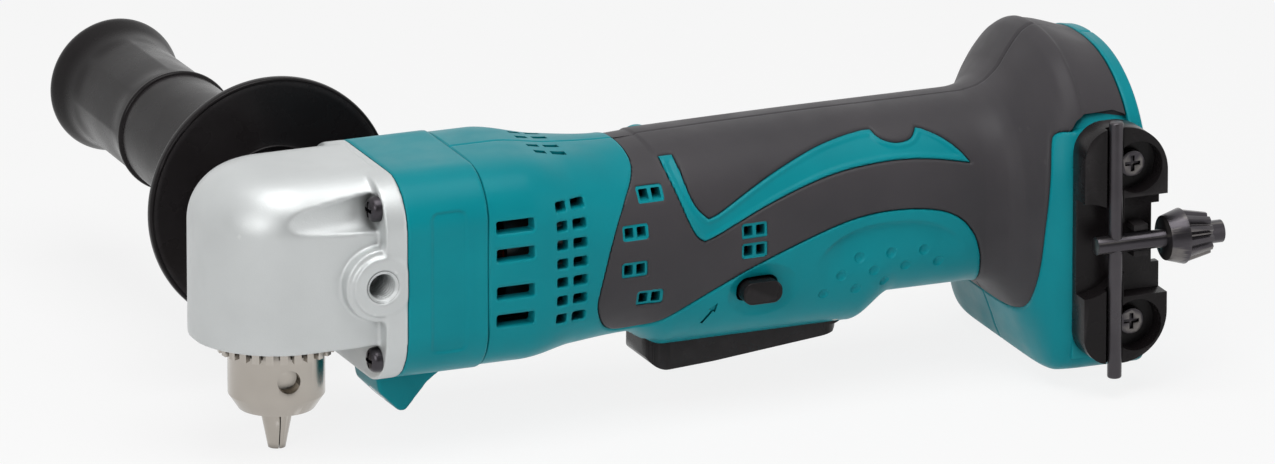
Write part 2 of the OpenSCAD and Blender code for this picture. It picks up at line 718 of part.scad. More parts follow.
// Motor bracket with the lamp's nose, and the lamp
lamp_turn = atan2(lamp_low_x - lamp_front_x, lamp_front_z - lamp_low_z);
module lamp_axis() translate([(lamp_front_x + lamp_low_x)/2, 0, (lamp_front_z + lamp_low_z)/2])
    rotate([0, 90 - lamp_turn, 0]) children();
module motor_bracket() color(teal) difference() {
    union() {
        along_x(flange_x) linear_extrude(bracket_len) ring_section();
        to_near(-lamp_half_w) linear_extrude(2*lamp_half_w)
            polygon([[lamp_tip_x, lamp_roof_z], [lamp_front_x, lamp_front_z], [lamp_low_x, lamp_low_z],
                [lamp_heel_x, lamp_heel_z], [lamp_run_x, lamp_roof_z - lamp_run_drop],
                [lamp_rear_x, lamp_roof_z], [lamp_rear_x, lamp_roof_z + 2*over],
                [flange_x, lamp_roof_z + 2*over], [flange_x, lamp_roof_z]]);
    }
    pinion_axis(flange_x - over) cylinder(h = pinion_rear_x - flange_x + over,
        r = spur_module*(spur_teeth + 2)/2 + gear_pocket_gap);
    pinion_axis(flange_x) cylinder(h = pinion_rear_x + pinion_rear_w - flange_x,
        r = pinion_rear_r + run_fit + pinion_rear_wall);
    motor_axis(flange_x - over) cylinder(h = bracket_len,
        r = spur_module*(sun_teeth + 2)/2 + gear_pocket_gap);
    motor_axis(front_bearing_x) cylinder(h = bracket_len, r = shaft_r + run_fit + front_bearing_wall);
    motor_axis(front_bearing_x + front_bearing_w) cylinder(h = bracket_len, r = fan_r + 2*gear_pocket_gap);
    at_screws() translate([0, 0, flange_x - over]) cylinder(h = screw_bite + over, r = screw_r + run_fit);
    lamp_axis() translate([0, 0, -over]) cylinder(h = lens_t + lamp_board_t + lamp_chip_h + over, r = lens_r);
}
module lamp_lens() color([0.9, 0.93, 0.95]) lamp_axis() cylinder(h = lens_t, r = lens_r);
module lamp_board() color([0.2, 0.4, 0.25]) lamp_axis() translate([0, 0, lens_t]) {
    translate([0, 0, lamp_chip_h]) cylinder(h = lamp_board_t, r = lens_r);
    cylinder(h = lamp_chip_h, r = lamp_chip_r);
}

// Motor
module armature_front_bearing() color(steel) motor_axis(front_bearing_x)
    bearing(shaft_r + run_fit + front_bearing_wall, shaft_r + run_fit, front_bearing_w);
module armature_rear_bearing() color(steel) motor_axis(rear_bearing_x)
    bearing(rear_journal_r + run_fit + rear_bearing_wall, rear_journal_r + run_fit, rear_bearing_w);
module armature_shaft() color(steel) {
    motor_axis(spur_x) linear_extrude(spur_face + over) gear_outline(sun_teeth, spur_module,
        spur_add_share, spur_ded_share, spur_press_turn, 3);
    motor_axis(0) rotate_extrude() polygon([[0, spur_x + spur_face + over], [shaft_r,
        spur_x + spur_face + over],
        [shaft_r, commutator_x + commutator_len], [rear_journal_r, commutator_x + commutator_len],
        [rear_journal_r, rear_bearing_x + rear_bearing_w], [0, rear_bearing_x + rear_bearing_w]]);
}
core_out_r = yoke_r - yoke_t - magnet_t - air_gap;
module armature_core() color(copper) difference() {
    union() {
        motor_axis(yoke_x + core_inset) difference() {
            cylinder(h = yoke_len - 2*core_inset, r = core_out_r);
            for (i = [0:core_slots - 1]) rotate([0, 0, i*360/core_slots]) translate([core_out_r, 0, -over])
                cylinder(h = yoke_len, r = core_slot_r);
        }
        motor_axis(yoke_x + core_inset - winding_h) cylinder(h = yoke_len - 2*core_inset + 2*winding_h,
            r = core_out_r*winding_r_share);
    }
    motor_axis(yoke_x - yoke_len) cylinder(h = 3*yoke_len, r = shaft_r);
}
module commutator() color(copper) motor_axis(commutator_x) difference() {
    tube(commutator_r, shaft_r, commutator_len);
    for (i = [0:commutator_bars - 1]) rotate([0, 0, i*360/commutator_bars])
        translate([commutator_r, 0, commutator_len/2]) cube([commutator_slot_w*2, commutator_slot_w,
            2*commutator_len], center = true);
}
module cooling_fan() color(black) motor_axis(fan_x) {
    difference() {
        union() {
            cylinder(h = fan_disc_t, r = fan_r);
            cylinder(h = fan_w, r = fan_hub_r);
            for (i = [0:fan_blade_count - 1]) rotate([0, 0, i*360/fan_blade_count])
                translate([fan_hub_r - over/2, -fan_blade_t/2, 0]) cube([fan_r - fan_hub_r - over/2,
                    fan_blade_t, fan_w]);
        }
        translate([0, 0, -over]) cylinder(h = fan_w + 2*over, r = shaft_r);
    }
}
module motor_yoke() color(dark_steel) motor_axis(yoke_x) tube(yoke_r, yoke_r - yoke_t, yoke_len);
module motor_magnets() color([0.3, 0.28, 0.28]) for (s = [0, 180]) motor_axis(yoke_x + core_inset)
    rotate([0, 0, s - magnet_span/2]) rotate_extrude(angle = magnet_span)
        translate([yoke_r - yoke_t - magnet_t, 0]) square([magnet_t, yoke_len - 2*core_inset]);
module brush_slot(grow) for (s = [-1, 1]) translate([commutator_x + commutator_len/2,
    s*(commutator_r + slide_gap + brush_len/2), motor_z])
    cube([brush_w, brush_len, brush_t] + grow*[1, 1, 1], center = true);
module brush_bracket() color(black) difference() {
    union() {
        motor_axis(yoke_x + yoke_len) tube(bracket_ring_r, bracket_ring_r - yoke_t,
            rear_bearing_x - yoke_x - yoke_len);
        motor_axis(rear_bearing_x - bracket_plate_t) cylinder(h = bracket_plate_t, r = bracket_ring_r);
        motor_axis(rear_bearing_x - bracket_plate_t) cylinder(h = rear_bearing_w + bracket_plate_t,
            r = rear_journal_r + run_fit + rear_bearing_wall + yoke_t);
        intersection() {
            brush_slot(2*brush_box_t + slide_gap);
            motor_axis(yoke_x + yoke_len) cylinder(h = yoke_len, r = bracket_ring_r - yoke_t/2);
        }
    }
    motor_axis(yoke_x) cylinder(h = 2*yoke_len, r = rear_journal_r + run_fit + over/2);
    motor_axis(rear_bearing_x) cylinder(h = yoke_len, r = rear_journal_r + run_fit + rear_bearing_wall);
    motor_axis(yoke_x + yoke_len) cylinder(h = rear_bearing_x - bracket_plate_t - yoke_x - yoke_len,
        r = commutator_r + slide_gap);
    brush_slot(0);
}
module carbon_brushes() color(dark_steel) brush_slot(0);

// Handle: sections along X between the stations, each a rounded outline with its own upper and lower power
function steps_of(i) = abs(stations[i + 1][2] - stations[i][2])
    + abs(stations[i + 1][3] - stations[i][3]) > over
    ? step_count : 1;
ring_places = [for (i = [0:len(stations) - 2], k = [0:steps_of(i) - 1])
    mix(stations[i][0], stations[i + 1][0], k/steps_of(i))];
function station(x, i = 0) = i >= len(stations) - 2 || x < stations[i + 1][0] ? i : station(x, i + 1);
function section_at(x) = let (i = station(x), a = stations[i], b = stations[i + 1],
    t = ease(max(0, min(1, (x - a[0])/(b[0] - a[0]))))) mix(a, b, t);
function power_of(v, p) = sign(v)*pow(abs(v), 2/p);
function section_point(x, j, inset, sides) = let (s = section_at(x), a = 360*j/sides, up = sin(a) >= 0)
    [x, -(s[1] - inset)*power_of(cos(a), up ? s[4] : s[5]),
        motor_z + (up ? s[2] - inset : s[3] - inset)*power_of(sin(a), up ? s[4] : s[5])];
module loft(low_x, high_x, inset, sides = ring_count) {
    places = concat([low_x], [for (x = ring_places) if (x > low_x + over && x < high_x - over) x],
        [high_x]);
    last = len(places) - 1;
    points = [for (x = places, j = [0:sides - 1]) section_point(x, j, inset, sides)];
    function at(i, j) = i*sides + j % sides;
    walls = [for (i = [0:last - 1], j = [0:sides - 1])
        each [[at(i, j), at(i + 1, j + 1), at(i + 1, j)], [at(i, j), at(i, j + 1), at(i + 1, j + 1)]]];
    caps = [[for (j = [sides - 1:-1:0]) at(0, j)], [for (j = [0:sides - 1]) at(last, j)]];
    polyhedron(points, concat(walls, caps), convexity = 6);
}
function on_handle(p) = [bracket_x + p[0]*handle_span, motor_z + p[1]*grip_rise];
module skin_outline() difference() {
    polygon([for (p = skin_shares) on_handle(p)]);
    difference() {
        for (i = [0:len(inlay_shares) - 2]) hull() for (p = [inlay_shares[i], inlay_shares[i + 1]])
            translate(on_handle(p)) circle(p[2]*grip_rise, $fn = 12);
        translate(on_handle(inlay_notch_shares)) circle(inlay_notch_shares[2]*grip_rise, $fn = 16);
    }
    for (p = window_shares) translate(on_handle(p)) pill(window_w, window_h, corner_r);
}
module skin_prism() to_near(0) linear_extrude(2*tail_half_w) skin_outline();
module soft_skin() difference() {
    intersection() {
        loft(bracket_x, tail_x, 0);
        skin_prism();
    }
    loft(bracket_x - over, tail_x + over, skin_t);
    lever_hole();
}
module soft_skin_near() color(charcoal) difference() {
    soft_skin();
    holder_pad(tail_half_w);
}
module soft_skin_far() color(charcoal) mirror([0, 1, 0]) difference() {
    soft_skin();
    at_bosses() cylinder(h = 2*tail_half_w, r = shell_head_r + slide_gap, $fn = 20);
}
module holder_pad(h) to_near(bay_half_w) linear_extrude(h) intersection() {
    holder_outline($fn = 24);
    square([tail_x, 2*motor_z]);
}
module lever_hole() to_near(0) linear_extrude(2*tail_half_w) translate([lever_x, lever_z])
    pill(lever_w + 2*lever_gap, lever_h + 2*lever_gap, lever_h/3.3);
module at_bosses() for (p = screw_boss_shares) translate([on_handle(p)[0], 0, on_handle(p)[1]])
    rotate([90, 0, 0]) children();
module vents() {
    to_near(0) linear_extrude(2*tail_half_w) {
        for (p = slot_shares) translate(on_handle(p)) pill(slot_w, slot_h, corner_r);
        for (c = [0, 1], i = [0:vent_row_count - 1])
            translate(on_handle(vent_shares[c]) + [0, (i - (vent_row_count - 1)/2)*vent_pitch])
                pill(vent_ws[c], vent_h, corner_r);
        for (p = window_shares, s = [-1, 1]) translate(on_handle(p) + [s*window_w/4, 0])
            pill(window_w/2 - window_bar_w/2 - window_rim, window_h - 2*window_rim, corner_r/2);
    }
    for (c = [0, 1], i = [0, 1]) translate([on_handle(vent_shares[c])[0], -top_vent_y - i*top_vent_pitch,
        motor_z])
        linear_extrude(2*motor_half_h) pill(vent_ws[c], top_vent_h, corner_r);
}
module paddle_slot() translate([paddle_x - paddle_gap, -paddle_half_w - slide_gap, 0])
    cube([paddle_len + 2*paddle_gap, 2*(paddle_half_w + slide_gap),
        paddle_pin_z + paddle_hub_r + slide_gap]);
module battery_bay() difference() {
    union() {
        loft(bay_floor_x, tail_x + over, bay_side_t, cavity_count);
        translate([bay_floor_x, -bay_half_w, -tail_drop]) cube([tail_x, 2*bay_half_w, motor_z + tail_drop]);
    }
    for (s = [-1, 1]) translate([tail_x - rail_inset - rail_t, s*bay_half_w - (s + 1)/2*rail_w, rail_low_z])
        cube([rail_t, rail_w, rail_len]);
}
// Radius of a many sided hole whose flats touch a round piece
function snug(r) = r/cos(180/hole_side_count);
module ribs() {
    for (t = yoke_rib_shares) translate([yoke_x + t*yoke_len, -tail_half_w, 0]) difference() {
        cube([rib_t, tail_half_w, 2*motor_z]);
        translate([-over, tail_half_w, motor_z]) rotate([0, 90, 0])
            cylinder(h = rib_t + 2*over, r = snug(yoke_r), $fn = hole_side_count);
    }
    for (t = switch_rib_shares) translate([switch_x + t*switch_len, -tail_half_w, switch_z])
        cube([rib_t, tail_half_w - switch_half_w, switch_h]);
}
module half_shell(heads) difference() {
    union() {
        difference() {
            loft(bracket_x, tail_x, 0);
            difference() {
                loft(bracket_x - over, bay_floor_x - bay_wall, shell_t + skin_t, cavity_count);
                at_bosses() cylinder(h = tail_half_w, r = screw_boss_r, $fn = 16);
                pin_place() translate([0, 0, paddle_half_w + slide_gap])
                    cylinder(h = tail_half_w, r = paddle_hub_r, $fn = 16);
                ribs();
            }
            difference() {
                skin_prism();
                loft(bracket_x - over, tail_x + over, skin_t);
            }
        }
        if (!heads) holder_pad(holder_flat_y - bay_half_w);
    }
    translate([0, 0, -tail_drop]) cube([2*tail_x, 2*tail_half_w, 4*tail_drop]);
    vents();
    paddle_slot();
    battery_bay();
    lever_hole();
    translate([power_route[0][0] - 2*bay_wall, power_route[0][1], power_route[0][2]]) rotate([0, 90, 0])
        cylinder(h = 2*bay_wall + over, r = lead_r + slide_gap, $fn = 16);
    if (heads) at_bosses() {
        translate([0, 0, -over]) cylinder(h = shell_head_y + 2*over, r = snug(shell_screw_r),
            $fn = hole_side_count);
        translate([0, 0, shell_head_y]) cylinder(h = tail_half_w, r = shell_head_r + slide_gap, $fn = 20);
    } else {
        at_bosses() translate([0, 0, -over])
            cylinder(h = shell_screw_len - shell_head_y + over, r = snug(shell_screw_r),
                $fn = hole_side_count);
        at_holder_screws() cylinder(h = holder_screw_bite, r = snug(holder_screw_r), $fn = hole_side_count);
        to_near(holder_flat_y) linear_extrude(tail_half_w) translate([holder_x - slide_gap,
            holder_low_z - slide_gap])
            square([holder_w, holder_h + 2*slide_gap]);
    }
    pin_place() cylinder(h = paddle_pin_half, r = snug(paddle_pin_r), $fn = hole_side_count);
}
module pin_place() translate([paddle_x + paddle_len - paddle_pin_inset, 0, paddle_pin_z]) rotate([90, 0,
    0]) children();
module handle_shell_near() color(teal) half_shell(false);
module handle_shell_far() color(teal) mirror([0, 1, 0]) half_shell(true);
module handle_screws() color(dark_steel) mirror([0, 1, 0]) at_bosses() {
    translate([0, 0, shell_head_y - shell_screw_len]) cylinder(h = shell_screw_len, r = shell_screw_r);
    translate([0, 0, shell_head_y]) difference() {
        cylinder(h = shell_head_h, r = shell_head_r);
        for (a = [0, 90]) rotate([0, 0, a]) translate([0, 0, shell_head_h])
            cube([shell_head_r*1.2, shell_screw_r/2, shell_head_h], center = true);
    }
}

// Switch, paddle and reversing lever
module switch_body() color(black) difference() {
    translate([switch_x, -switch_half_w, switch_z]) cube([switch_len, 2*switch_half_w, switch_h]);
    translate([plunger_x, 0, switch_z - over]) cylinder(h = switch_h, r = plunger_r + plunger_fit);
}
module switch_plunger() color(steel) translate([plunger_x, 0, paddle_top_z + slide_gap])
    cylinder(h = switch_z + plunger_rise - paddle_top_z - slide_gap, r = plunger_r);
module paddle() color(black) difference() {
    union() {
        intersection() {
            to_near(-paddle_half_w) linear_extrude(2*paddle_half_w)
                polygon([[paddle_x, paddle_top_z], [paddle_x, paddle_front_low_z + paddle_round_r],
                    [paddle_x + paddle_round_r/3, paddle_front_low_z + paddle_round_r/3],
                    [paddle_x + paddle_round_r, paddle_front_low_z],
                    [paddle_x + paddle_len - paddle_round_r/2, paddle_rear_low_z],
                    [paddle_x + paddle_len, paddle_rear_low_z + paddle_round_r/2],
                    [paddle_x + paddle_len, paddle_top_z]]);
            translate([paddle_x + paddle_len/2, 0, 0]) linear_extrude(2*paddle_top_z)
                rounded(paddle_len, 2*paddle_half_w, paddle_corner_r);
        }
        pin_place() cylinder(h = 2*paddle_half_w, r = paddle_hub_r, center = true);
    }
    pin_place() cylinder(h = 4*paddle_half_w, r = paddle_pin_r + run_fit, center = true);
}
module paddle_pin() color(steel) pin_place() cylinder(h = 2*paddle_pin_half, r = paddle_pin_r,
    center = true);
module reversing_lever() color(black) {
    for (s = [0, 1]) mirror([0, s, 0]) to_near(lever_fork_w) linear_extrude(lever_reach - lever_fork_w)
        translate([lever_x, lever_z])
        rounded(lever_w, lever_h, lever_h/2.2);
    translate([lever_x, 0, lever_z]) cube([lever_w - lever_h/2, 2*lever_fork_w, lever_fork_h],
        center = true);
}

// Terminals and leads
module terminal_block() color(black) translate([bay_floor_x, -block_half_w, block_z])
    cube([block_len, 2*block_half_w, block_h]);
module terminal_blades() color(copper) for (s = [-1, 1]) translate([bay_floor_x + block_len,
    s*blade_y - blade_w/2, block_z + (block_h - blade_h)/2])
    cube([blade_len, blade_w, blade_h]);
function unit(v) = v/norm(v);
module lead(route) {
    last = len(route) - 1;
    function way(i) = unit(route[min(last, i + 1)] - route[max(0, i - 1)]);
    points = [for (i = [0:last]) let (w = way(i), side = unit(cross(w, [0, 1, 0])), up = cross(side, w))
        for (k = [0:lead_side_count - 1])
            route[i] + lead_r*(cos(k*360/lead_side_count)*side + sin(k*360/lead_side_count)*up)];
    function at(i, k) = i*lead_side_count + k % lead_side_count;
    polyhedron(points, concat(
        [for (i = [0:last - 1], k = [0:lead_side_count - 1]) each [[at(i, k), at(i, k + 1), at(i + 1,
            k + 1)], [at(i, k), at(i + 1, k + 1), at(i + 1, k)]]],
        [[for (k = [lead_side_count - 1:-1:0]) at(0, k)], [for (k = [0:lead_side_count - 1]) at(last,
            k)]]));
}
module power_leads() color([0.7, 0.1, 0.08]) for (s = [0, 1]) mirror([0, s, 0]) lead(power_route);
module motor_leads() color([0.1, 0.1, 0.1]) for (s = [0, 1]) mirror([0, s, 0]) lead(motor_route);

// Side handle: one turned profile from the hub to the domed end
module side_handle_grip() color(black) side_axis() difference() {
    ring_y = mix(disc_y, disc_y + side_len, ring_share);
    end_y = disc_y + side_len;
    rotate_extrude() polygon([[0, boss_y + hub_gap], [hub_r, boss_y + hub_gap], [hub_r, disc_y - disc_t],
        [disc_r - disc_rim_t, disc_y - disc_t/2], [disc_r, disc_y], [disc_r, disc_y + disc_t],
            [side_grip_r, disc_y + disc_rim_t],
        [side_grip_r, ring_y - ring_w], [side_grip_r + ring_h, ring_y - ring_w/2], [side_grip_r + ring_h,
            ring_y + ring_w/2],
        [side_grip_r - neck_dip, ring_y + ring_w], [side_grip_r, end_y - 2*end_rim_w], [side_end_r,
            end_y - end_rim_w],
        [side_end_r, end_y - end_rim_w/2], [side_grip_r, end_y], [side_grip_r/2, end_y + end_dome_h/2],
            [0, end_y + end_dome_h/2]]);
    stud_hex(over);
    for (i = [0:flute_count - 1]) rotate([0, 0, i*360/flute_count])
        translate([side_grip_r + flute_r - flute_depth, 0, ring_y + 2*ring_w])
        cylinder(h = side_len*(1 - ring_share) - 2*end_rim_w - 2*ring_w, r = flute_r);
}
module stud_hex(more) translate([0, 0, boss_y + hub_gap - more])
    cylinder(h = disc_y - boss_y - hub_gap + more, r = stud_hex_r, $fn = 6);
module side_handle_stud() color(steel) side_axis() {
    translate([0, 0, disc_y - stud_len]) cylinder(h = stud_len, r = stud_r);
    stud_hex(0);
}

// Key holder on the near side of the tail
module holder_outline() translate([holder_x + holder_w/2, holder_low_z + holder_h/2]) intersection() {
    rounded(holder_w, holder_h, holder_round_r);
    translate([-holder_w/2, 0]) rounded(2*holder_w, holder_h, holder_end_r);
}
module at_holder_screws() for (s = [-1, 1]) translate([holder_pocket_x, -holder_flat_y,
    holder_mid_z + s*holder_pocket_dz]) rotate([-90, 0, 0]) children();
module key_clip() to_near(holder_flat_y + holder_base_t/2) linear_extrude(holder_t - holder_base_t/2)
    for (s = [-1, 1]) translate([clip_x, key_z + s*(key_shank_r + slide_gap + clip_t/2) - clip_t/2])
        square([clip_w, clip_t]);
module key_holder() color(black) {
    holder_plate();
    key_clip();
}
module holder_plate() difference() {
    to_near(holder_flat_y) linear_extrude(holder_t) holder_outline();
    to_near(holder_flat_y + holder_base_t) linear_extrude(2*holder_t) {
        translate([holder_x + holder_strip_w + holder_groove_w, holder_mid_z - holder_gap_h/2])
            square([holder_w, holder_gap_h]);
        for (s = [-1, 1]) translate([holder_pocket_x, holder_mid_z + s*holder_pocket_dz])
            circle(holder_pocket_r);
        translate([holder_x, holder_mid_z]) circle(holder_thumb_r);
    }
    to_near(key_y - bar_r - slide_gap) linear_extrude(2*holder_t) translate([bar_x - holder_groove_w/2,
        0]) square([holder_groove_w, 2*bar_len]);
    to_near(0) linear_extrude(key_y + holder_t) translate([key_x + key_shank_len - over,
        key_z - key_gear_r - over])
        square([holder_w, 2*(key_gear_r + over)]);
    at_holder_screws() translate([0, 0, -2*holder_t]) cylinder(h = 4*holder_t,
        r = holder_screw_r + run_fit);
}
module key_holder_screws() color(dark_steel) at_holder_screws() {
    translate([0, 0, -holder_base_t]) cylinder(h = holder_base_t + holder_screw_bite, r = holder_screw_r);
    translate([0, 0, -holder_base_t - holder_screw_head_h]) difference() {
        cylinder(h = holder_screw_head_h, r = holder_screw_head_r);
        for (a = [0, 90]) rotate([0, 0, a]) cube([holder_screw_head_r*1.2, holder_screw_r/2,
            holder_screw_head_h], center = true);
    }
}

// Chuck key: shank, collar, tapered gear and pilot
module key_axis(x) translate([x, -key_y, key_z]) rotate([0, 90, 0]) children();
module chuck_key() color(dark_steel) difference() {
    union() {
        key_axis(key_x) cylinder(h = key_shank_len + over, r = key_shank_r);
        key_axis(key_x + key_shank_len) cylinder(h = key_collar_len, r1 = key_collar_r*key_collar_share,
            r2 = key_collar_r);
        key_axis(key_x + key_shank_len + key_collar_len) linear_extrude(key_gear_len,
            scale = key_gear_taper)
            polygon([for (t = [0:key_gear_teeth - 1], k = [[-0.42, 1 - key_tooth_share], [-0.2, 1], [0.2,
                1], [0.42, 1 - key_tooth_share]])
                key_gear_r*k[1]*[cos((t + k[0])*360/key_gear_teeth), sin((t + k[0])*360/key_gear_teeth)]]);
        key_axis(key_x + key_shank_len + key_collar_len + key_gear_len - over)
            cylinder(h = key_pilot_len + over, r = key_pilot_r);
    }
    translate([bar_x, -key_y, key_z]) cylinder(h = 4*key_shank_r, r = bar_r, center = true);
}
module chuck_key_bar() color(dark_steel) translate([bar_x, -key_y, key_z - bar_drop]) cylinder(h = bar_len,
    r = bar_r, center = true);

gear_housing();
housing_screws();
bearing_retainer();
spindle_lower_bearing();
spindle_upper_bush();
spindle();
bevel_gear();
bevel_pinion_shaft();
spur_gear();
pinion_front_bearing();
pinion_rear_bearing();
chuck_body();
chuck_sleeve();
chuck_jaw_1();
chuck_jaw_2();
chuck_jaw_3();
motor_bracket();
lamp_lens();
lamp_board();
armature_front_bearing();
armature_rear_bearing();
armature_shaft();
armature_core();
commutator();
cooling_fan();
motor_yoke();
motor_magnets();
brush_bracket();
carbon_brushes();
handle_shell_near();
handle_shell_far();
soft_skin_near();
soft_skin_far();
handle_screws();
switch_body();
switch_plunger();
paddle();
paddle_pin();
reversing_lever();
terminal_block();
terminal_blades();
power_leads();
motor_leads();
side_handle_grip();
side_handle_stud();
key_holder();
key_holder_screws();
chuck_key();
chuck_key_bar();
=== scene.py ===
# %% [markdown]
# # Dressing a right angle drill
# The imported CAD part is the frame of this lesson: it has every solid in its place, and it moves on its
# joints. Here each piece that shows gets its moulded, cast or turned surface, its small edges and its
# finish. The script works in metres, and the sizes are typed in millimetres because that is how a maker
# measures.

# %% Load the frame
import json
import math

import bmesh
import bpy
import numpy as np
from mathutils import Matrix, Vector


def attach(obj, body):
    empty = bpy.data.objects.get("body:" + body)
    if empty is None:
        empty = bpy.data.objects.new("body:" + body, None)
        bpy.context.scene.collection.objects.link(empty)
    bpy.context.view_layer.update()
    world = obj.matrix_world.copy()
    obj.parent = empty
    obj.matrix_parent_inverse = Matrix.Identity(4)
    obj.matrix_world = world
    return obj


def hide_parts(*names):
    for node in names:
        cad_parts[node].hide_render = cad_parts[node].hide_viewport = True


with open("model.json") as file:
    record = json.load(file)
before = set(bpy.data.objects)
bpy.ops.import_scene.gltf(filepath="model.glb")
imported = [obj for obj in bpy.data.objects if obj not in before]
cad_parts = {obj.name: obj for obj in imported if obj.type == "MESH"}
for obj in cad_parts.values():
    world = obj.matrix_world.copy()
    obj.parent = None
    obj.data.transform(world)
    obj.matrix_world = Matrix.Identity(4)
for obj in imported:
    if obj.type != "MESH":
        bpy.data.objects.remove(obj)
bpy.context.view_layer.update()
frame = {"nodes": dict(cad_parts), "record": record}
MM = 0.001
BODY_OF = {node: body for body,
           nodes in frame["record"]["behaviour"]["bodies"].items() for node in nodes}

# %% [markdown]
# ## Camera
# The photograph looks at the near side from a little to the left and from above, through a long lens. A
# camera could be placed by eye. Here it is placed by its two angles and by the scale of the photograph,
# so that a length in the render can be compared with the same length in the photograph.

# %% Place the camera
TURN, RISE = math.radians(-22.5), math.radians(17.5)
CAMERA_AWAY = 4.94
MIDDLE_RIGHT, MIDDLE_UP = 93.7, 55.55
PHOTO_PIXELS, PIXELS_PER_MM = 1275, 3.85
SENSOR = 36
BACK = Vector((math.sin(TURN) * math.cos(RISE), -math.cos(TURN) * math.cos(RISE), math.sin(RISE)))
RIGHT = Vector((math.cos(TURN), math.sin(TURN), 0))
UP = BACK.cross(RIGHT)
AIM = RIGHT * MIDDLE_RIGHT * MM + UP * MIDDLE_UP * MM
PHOTO_WIDTH = PHOTO_PIXELS / PIXELS_PER_MM * MM
bpy.ops.object.select_all(action="DESELECT")
look = BACK.to_track_quat("Z", "Y").to_euler()
bpy.ops.object.camera_add(location=AIM + BACK * CAMERA_AWAY, rotation=look)
camera = bpy.context.object
camera.data.sensor_width = SENSOR
camera.data.lens = SENSOR * CAMERA_AWAY / PHOTO_WIDTH
bpy.context.scene.camera = camera
bpy.context.scene.view_settings.view_transform = "Standard"
print("lens", round(camera.data.lens, 1))

# %% [markdown]
# ## Floor, world and lamps
# The tool stands on plain white. The light on it comes from soft lamps at a plain level: a broad one
# above, one at the front left and a weak one at the right. A bright world alone would flatten every
# form, and metal lives from what it mirrors, so the world is white all round but for the dark side of
# the studio, behind the camera.

# %% Wire nodes
def wire(tree, kind, inputs, **settings):
    """Adds a node and gives each input a value or a link."""
    node = tree.nodes.new("ShaderNode" + kind)
    for label, value in settings.items():
        setattr(node, label, value)
    for label, value in inputs.items():
        if isinstance(value, bpy.types.NodeSocket):
            tree.links.new(value, node.inputs[label])
        else:
            node.inputs[label].default_value = value
    return node


def seen_directly(tree):
    """1 where the camera, a gloss or a glass sees the surface, and 0 for the light that it gives."""
    path = tree.nodes.new("ShaderNodeLightPath").outputs
    seen = path["Is Camera Ray"]
    for ray in ("Is Glossy Ray", "Is Transmission Ray"):
        seen = wire(tree, "Math", {0: seen, 1: path[ray]}, operation="MAXIMUM").outputs[0]
    return seen


# %% Lay the floor
FLOOR_SIZE, FLOOR_BELOW = 12, 0.4
FLOOR_GREY, FLOOR_GLOW_SHARE = 0.86, 0.85
bpy.ops.object.select_all(action="DESELECT")
bpy.ops.mesh.primitive_plane_add(size=FLOOR_SIZE, location=(0, 0, -FLOOR_BELOW * MM))
floor = bpy.context.object
floor.name = "floor"
floor_paint = bpy.data.materials.new("floor_paint")
floor_paint.use_nodes = True
tree = floor_paint.node_tree
tree.nodes.clear()
matt = wire(tree, "BsdfDiffuse", {"Color": (FLOOR_GREY, FLOOR_GREY, FLOOR_GREY, 1)})
glow = wire(tree, "Emission", {"Strength": 1.0})
share = wire(tree, "Math", {0: seen_directly(tree), 1: FLOOR_GLOW_SHARE}, operation="MULTIPLY")
mixer = wire(tree, "MixShader", {0: share.outputs[0], 1: matt.outputs[0], 2: glow.outputs[0]})
wire(tree, "OutputMaterial", {0: mixer.outputs[0]})
floor.data.materials.append(floor_paint)
print("floor", FLOOR_SIZE, "metres wide")

# %% Set the world and the lamps
WORLD_LIGHT = 0.15
DARK_SIDE, DARK_FROM, DARK_TO = 0.1, 0.1, 0.95
world = bpy.data.worlds.new("studio")
bpy.context.scene.world = world
world.use_nodes = True
tree = world.node_tree
seen = seen_directly(tree)
brightness = wire(tree, "MapRange", {"Value": seen, "To Min": WORLD_LIGHT, "To Max": 1.0})
ray = tree.nodes.new("ShaderNodeTexCoord").outputs["Generated"]
towards = wire(tree, "VectorMath", {0: ray, 1: BACK}, operation="DOT_PRODUCT")
ramp = {"Value": towards.outputs["Value"], "From Min": DARK_FROM, "From Max": DARK_TO,
        "To Min": 1.0, "To Max": DARK_SIDE}
dark_side = wire(tree, "MapRange", ramp, interpolation_type="SMOOTHSTEP")
strength = wire(tree, "Math", {0: brightness.outputs[0], 1: dark_side.outputs[0]}, operation="MULTIPLY")
sky = tree.nodes["Background"]
sky.inputs["Color"].default_value = (1, 1, 1, 1)
tree.links.new(strength.outputs[0], sky.inputs["Strength"])

LAMPS = (("lamp_above", (0.05, -0.3, 1.05), (0.1, 0, 0.05), 0.8, 7.5),
         ("lamp_front_left", (-0.75, -0.75, 0.55), (0.05, 0, 0.05), 0.6, 4.4),
         ("lamp_right", (0.9, -0.8, 0.35), (0.15, 0, 0.05), 0.7, 0.9))
for name, place, target, size, power in LAMPS:
    bpy.ops.object.light_add(type="AREA", location=place)
    lamp = bpy.context.object
    lamp.name = name
    lamp.data.size = size
    lamp.data.energy = power
    lamp.rotation_euler = (Vector(target) - Vector(place)).to_track_quat("-Z", "Y").to_euler()
print("world and", len(LAMPS), "lamps")

# %% [markdown]
# ## Shared effects
# Moulded plastic, cast metal and turned steel all share the same four effects: a fine grain, broad patches
# where they shine more or less, edges that have been rubbed, and painted shade, an ambient occlusion mask
# that darkens the colour in hollows and corners. Each is one shader node group with its own values, so
# that every material can use it. Painting them separately would make them drift apart.

# %% Build the four node groups
def effect_group(name, inputs, outputs):
    group = bpy.data.node_groups.new(name, "ShaderNodeTree")
    for label, value in inputs:
        socket = group.interface.new_socket(label, in_out="INPUT", socket_type="NodeSocketFloat")
        socket.default_value = value
    for label in outputs:
        group.interface.new_socket(label, in_out="OUTPUT", socket_type="NodeSocketFloat")
    ends = group.nodes.new("NodeGroupInput"), group.nodes.new("NodeGroupOutput")
    return group, ends[0], ends[1]


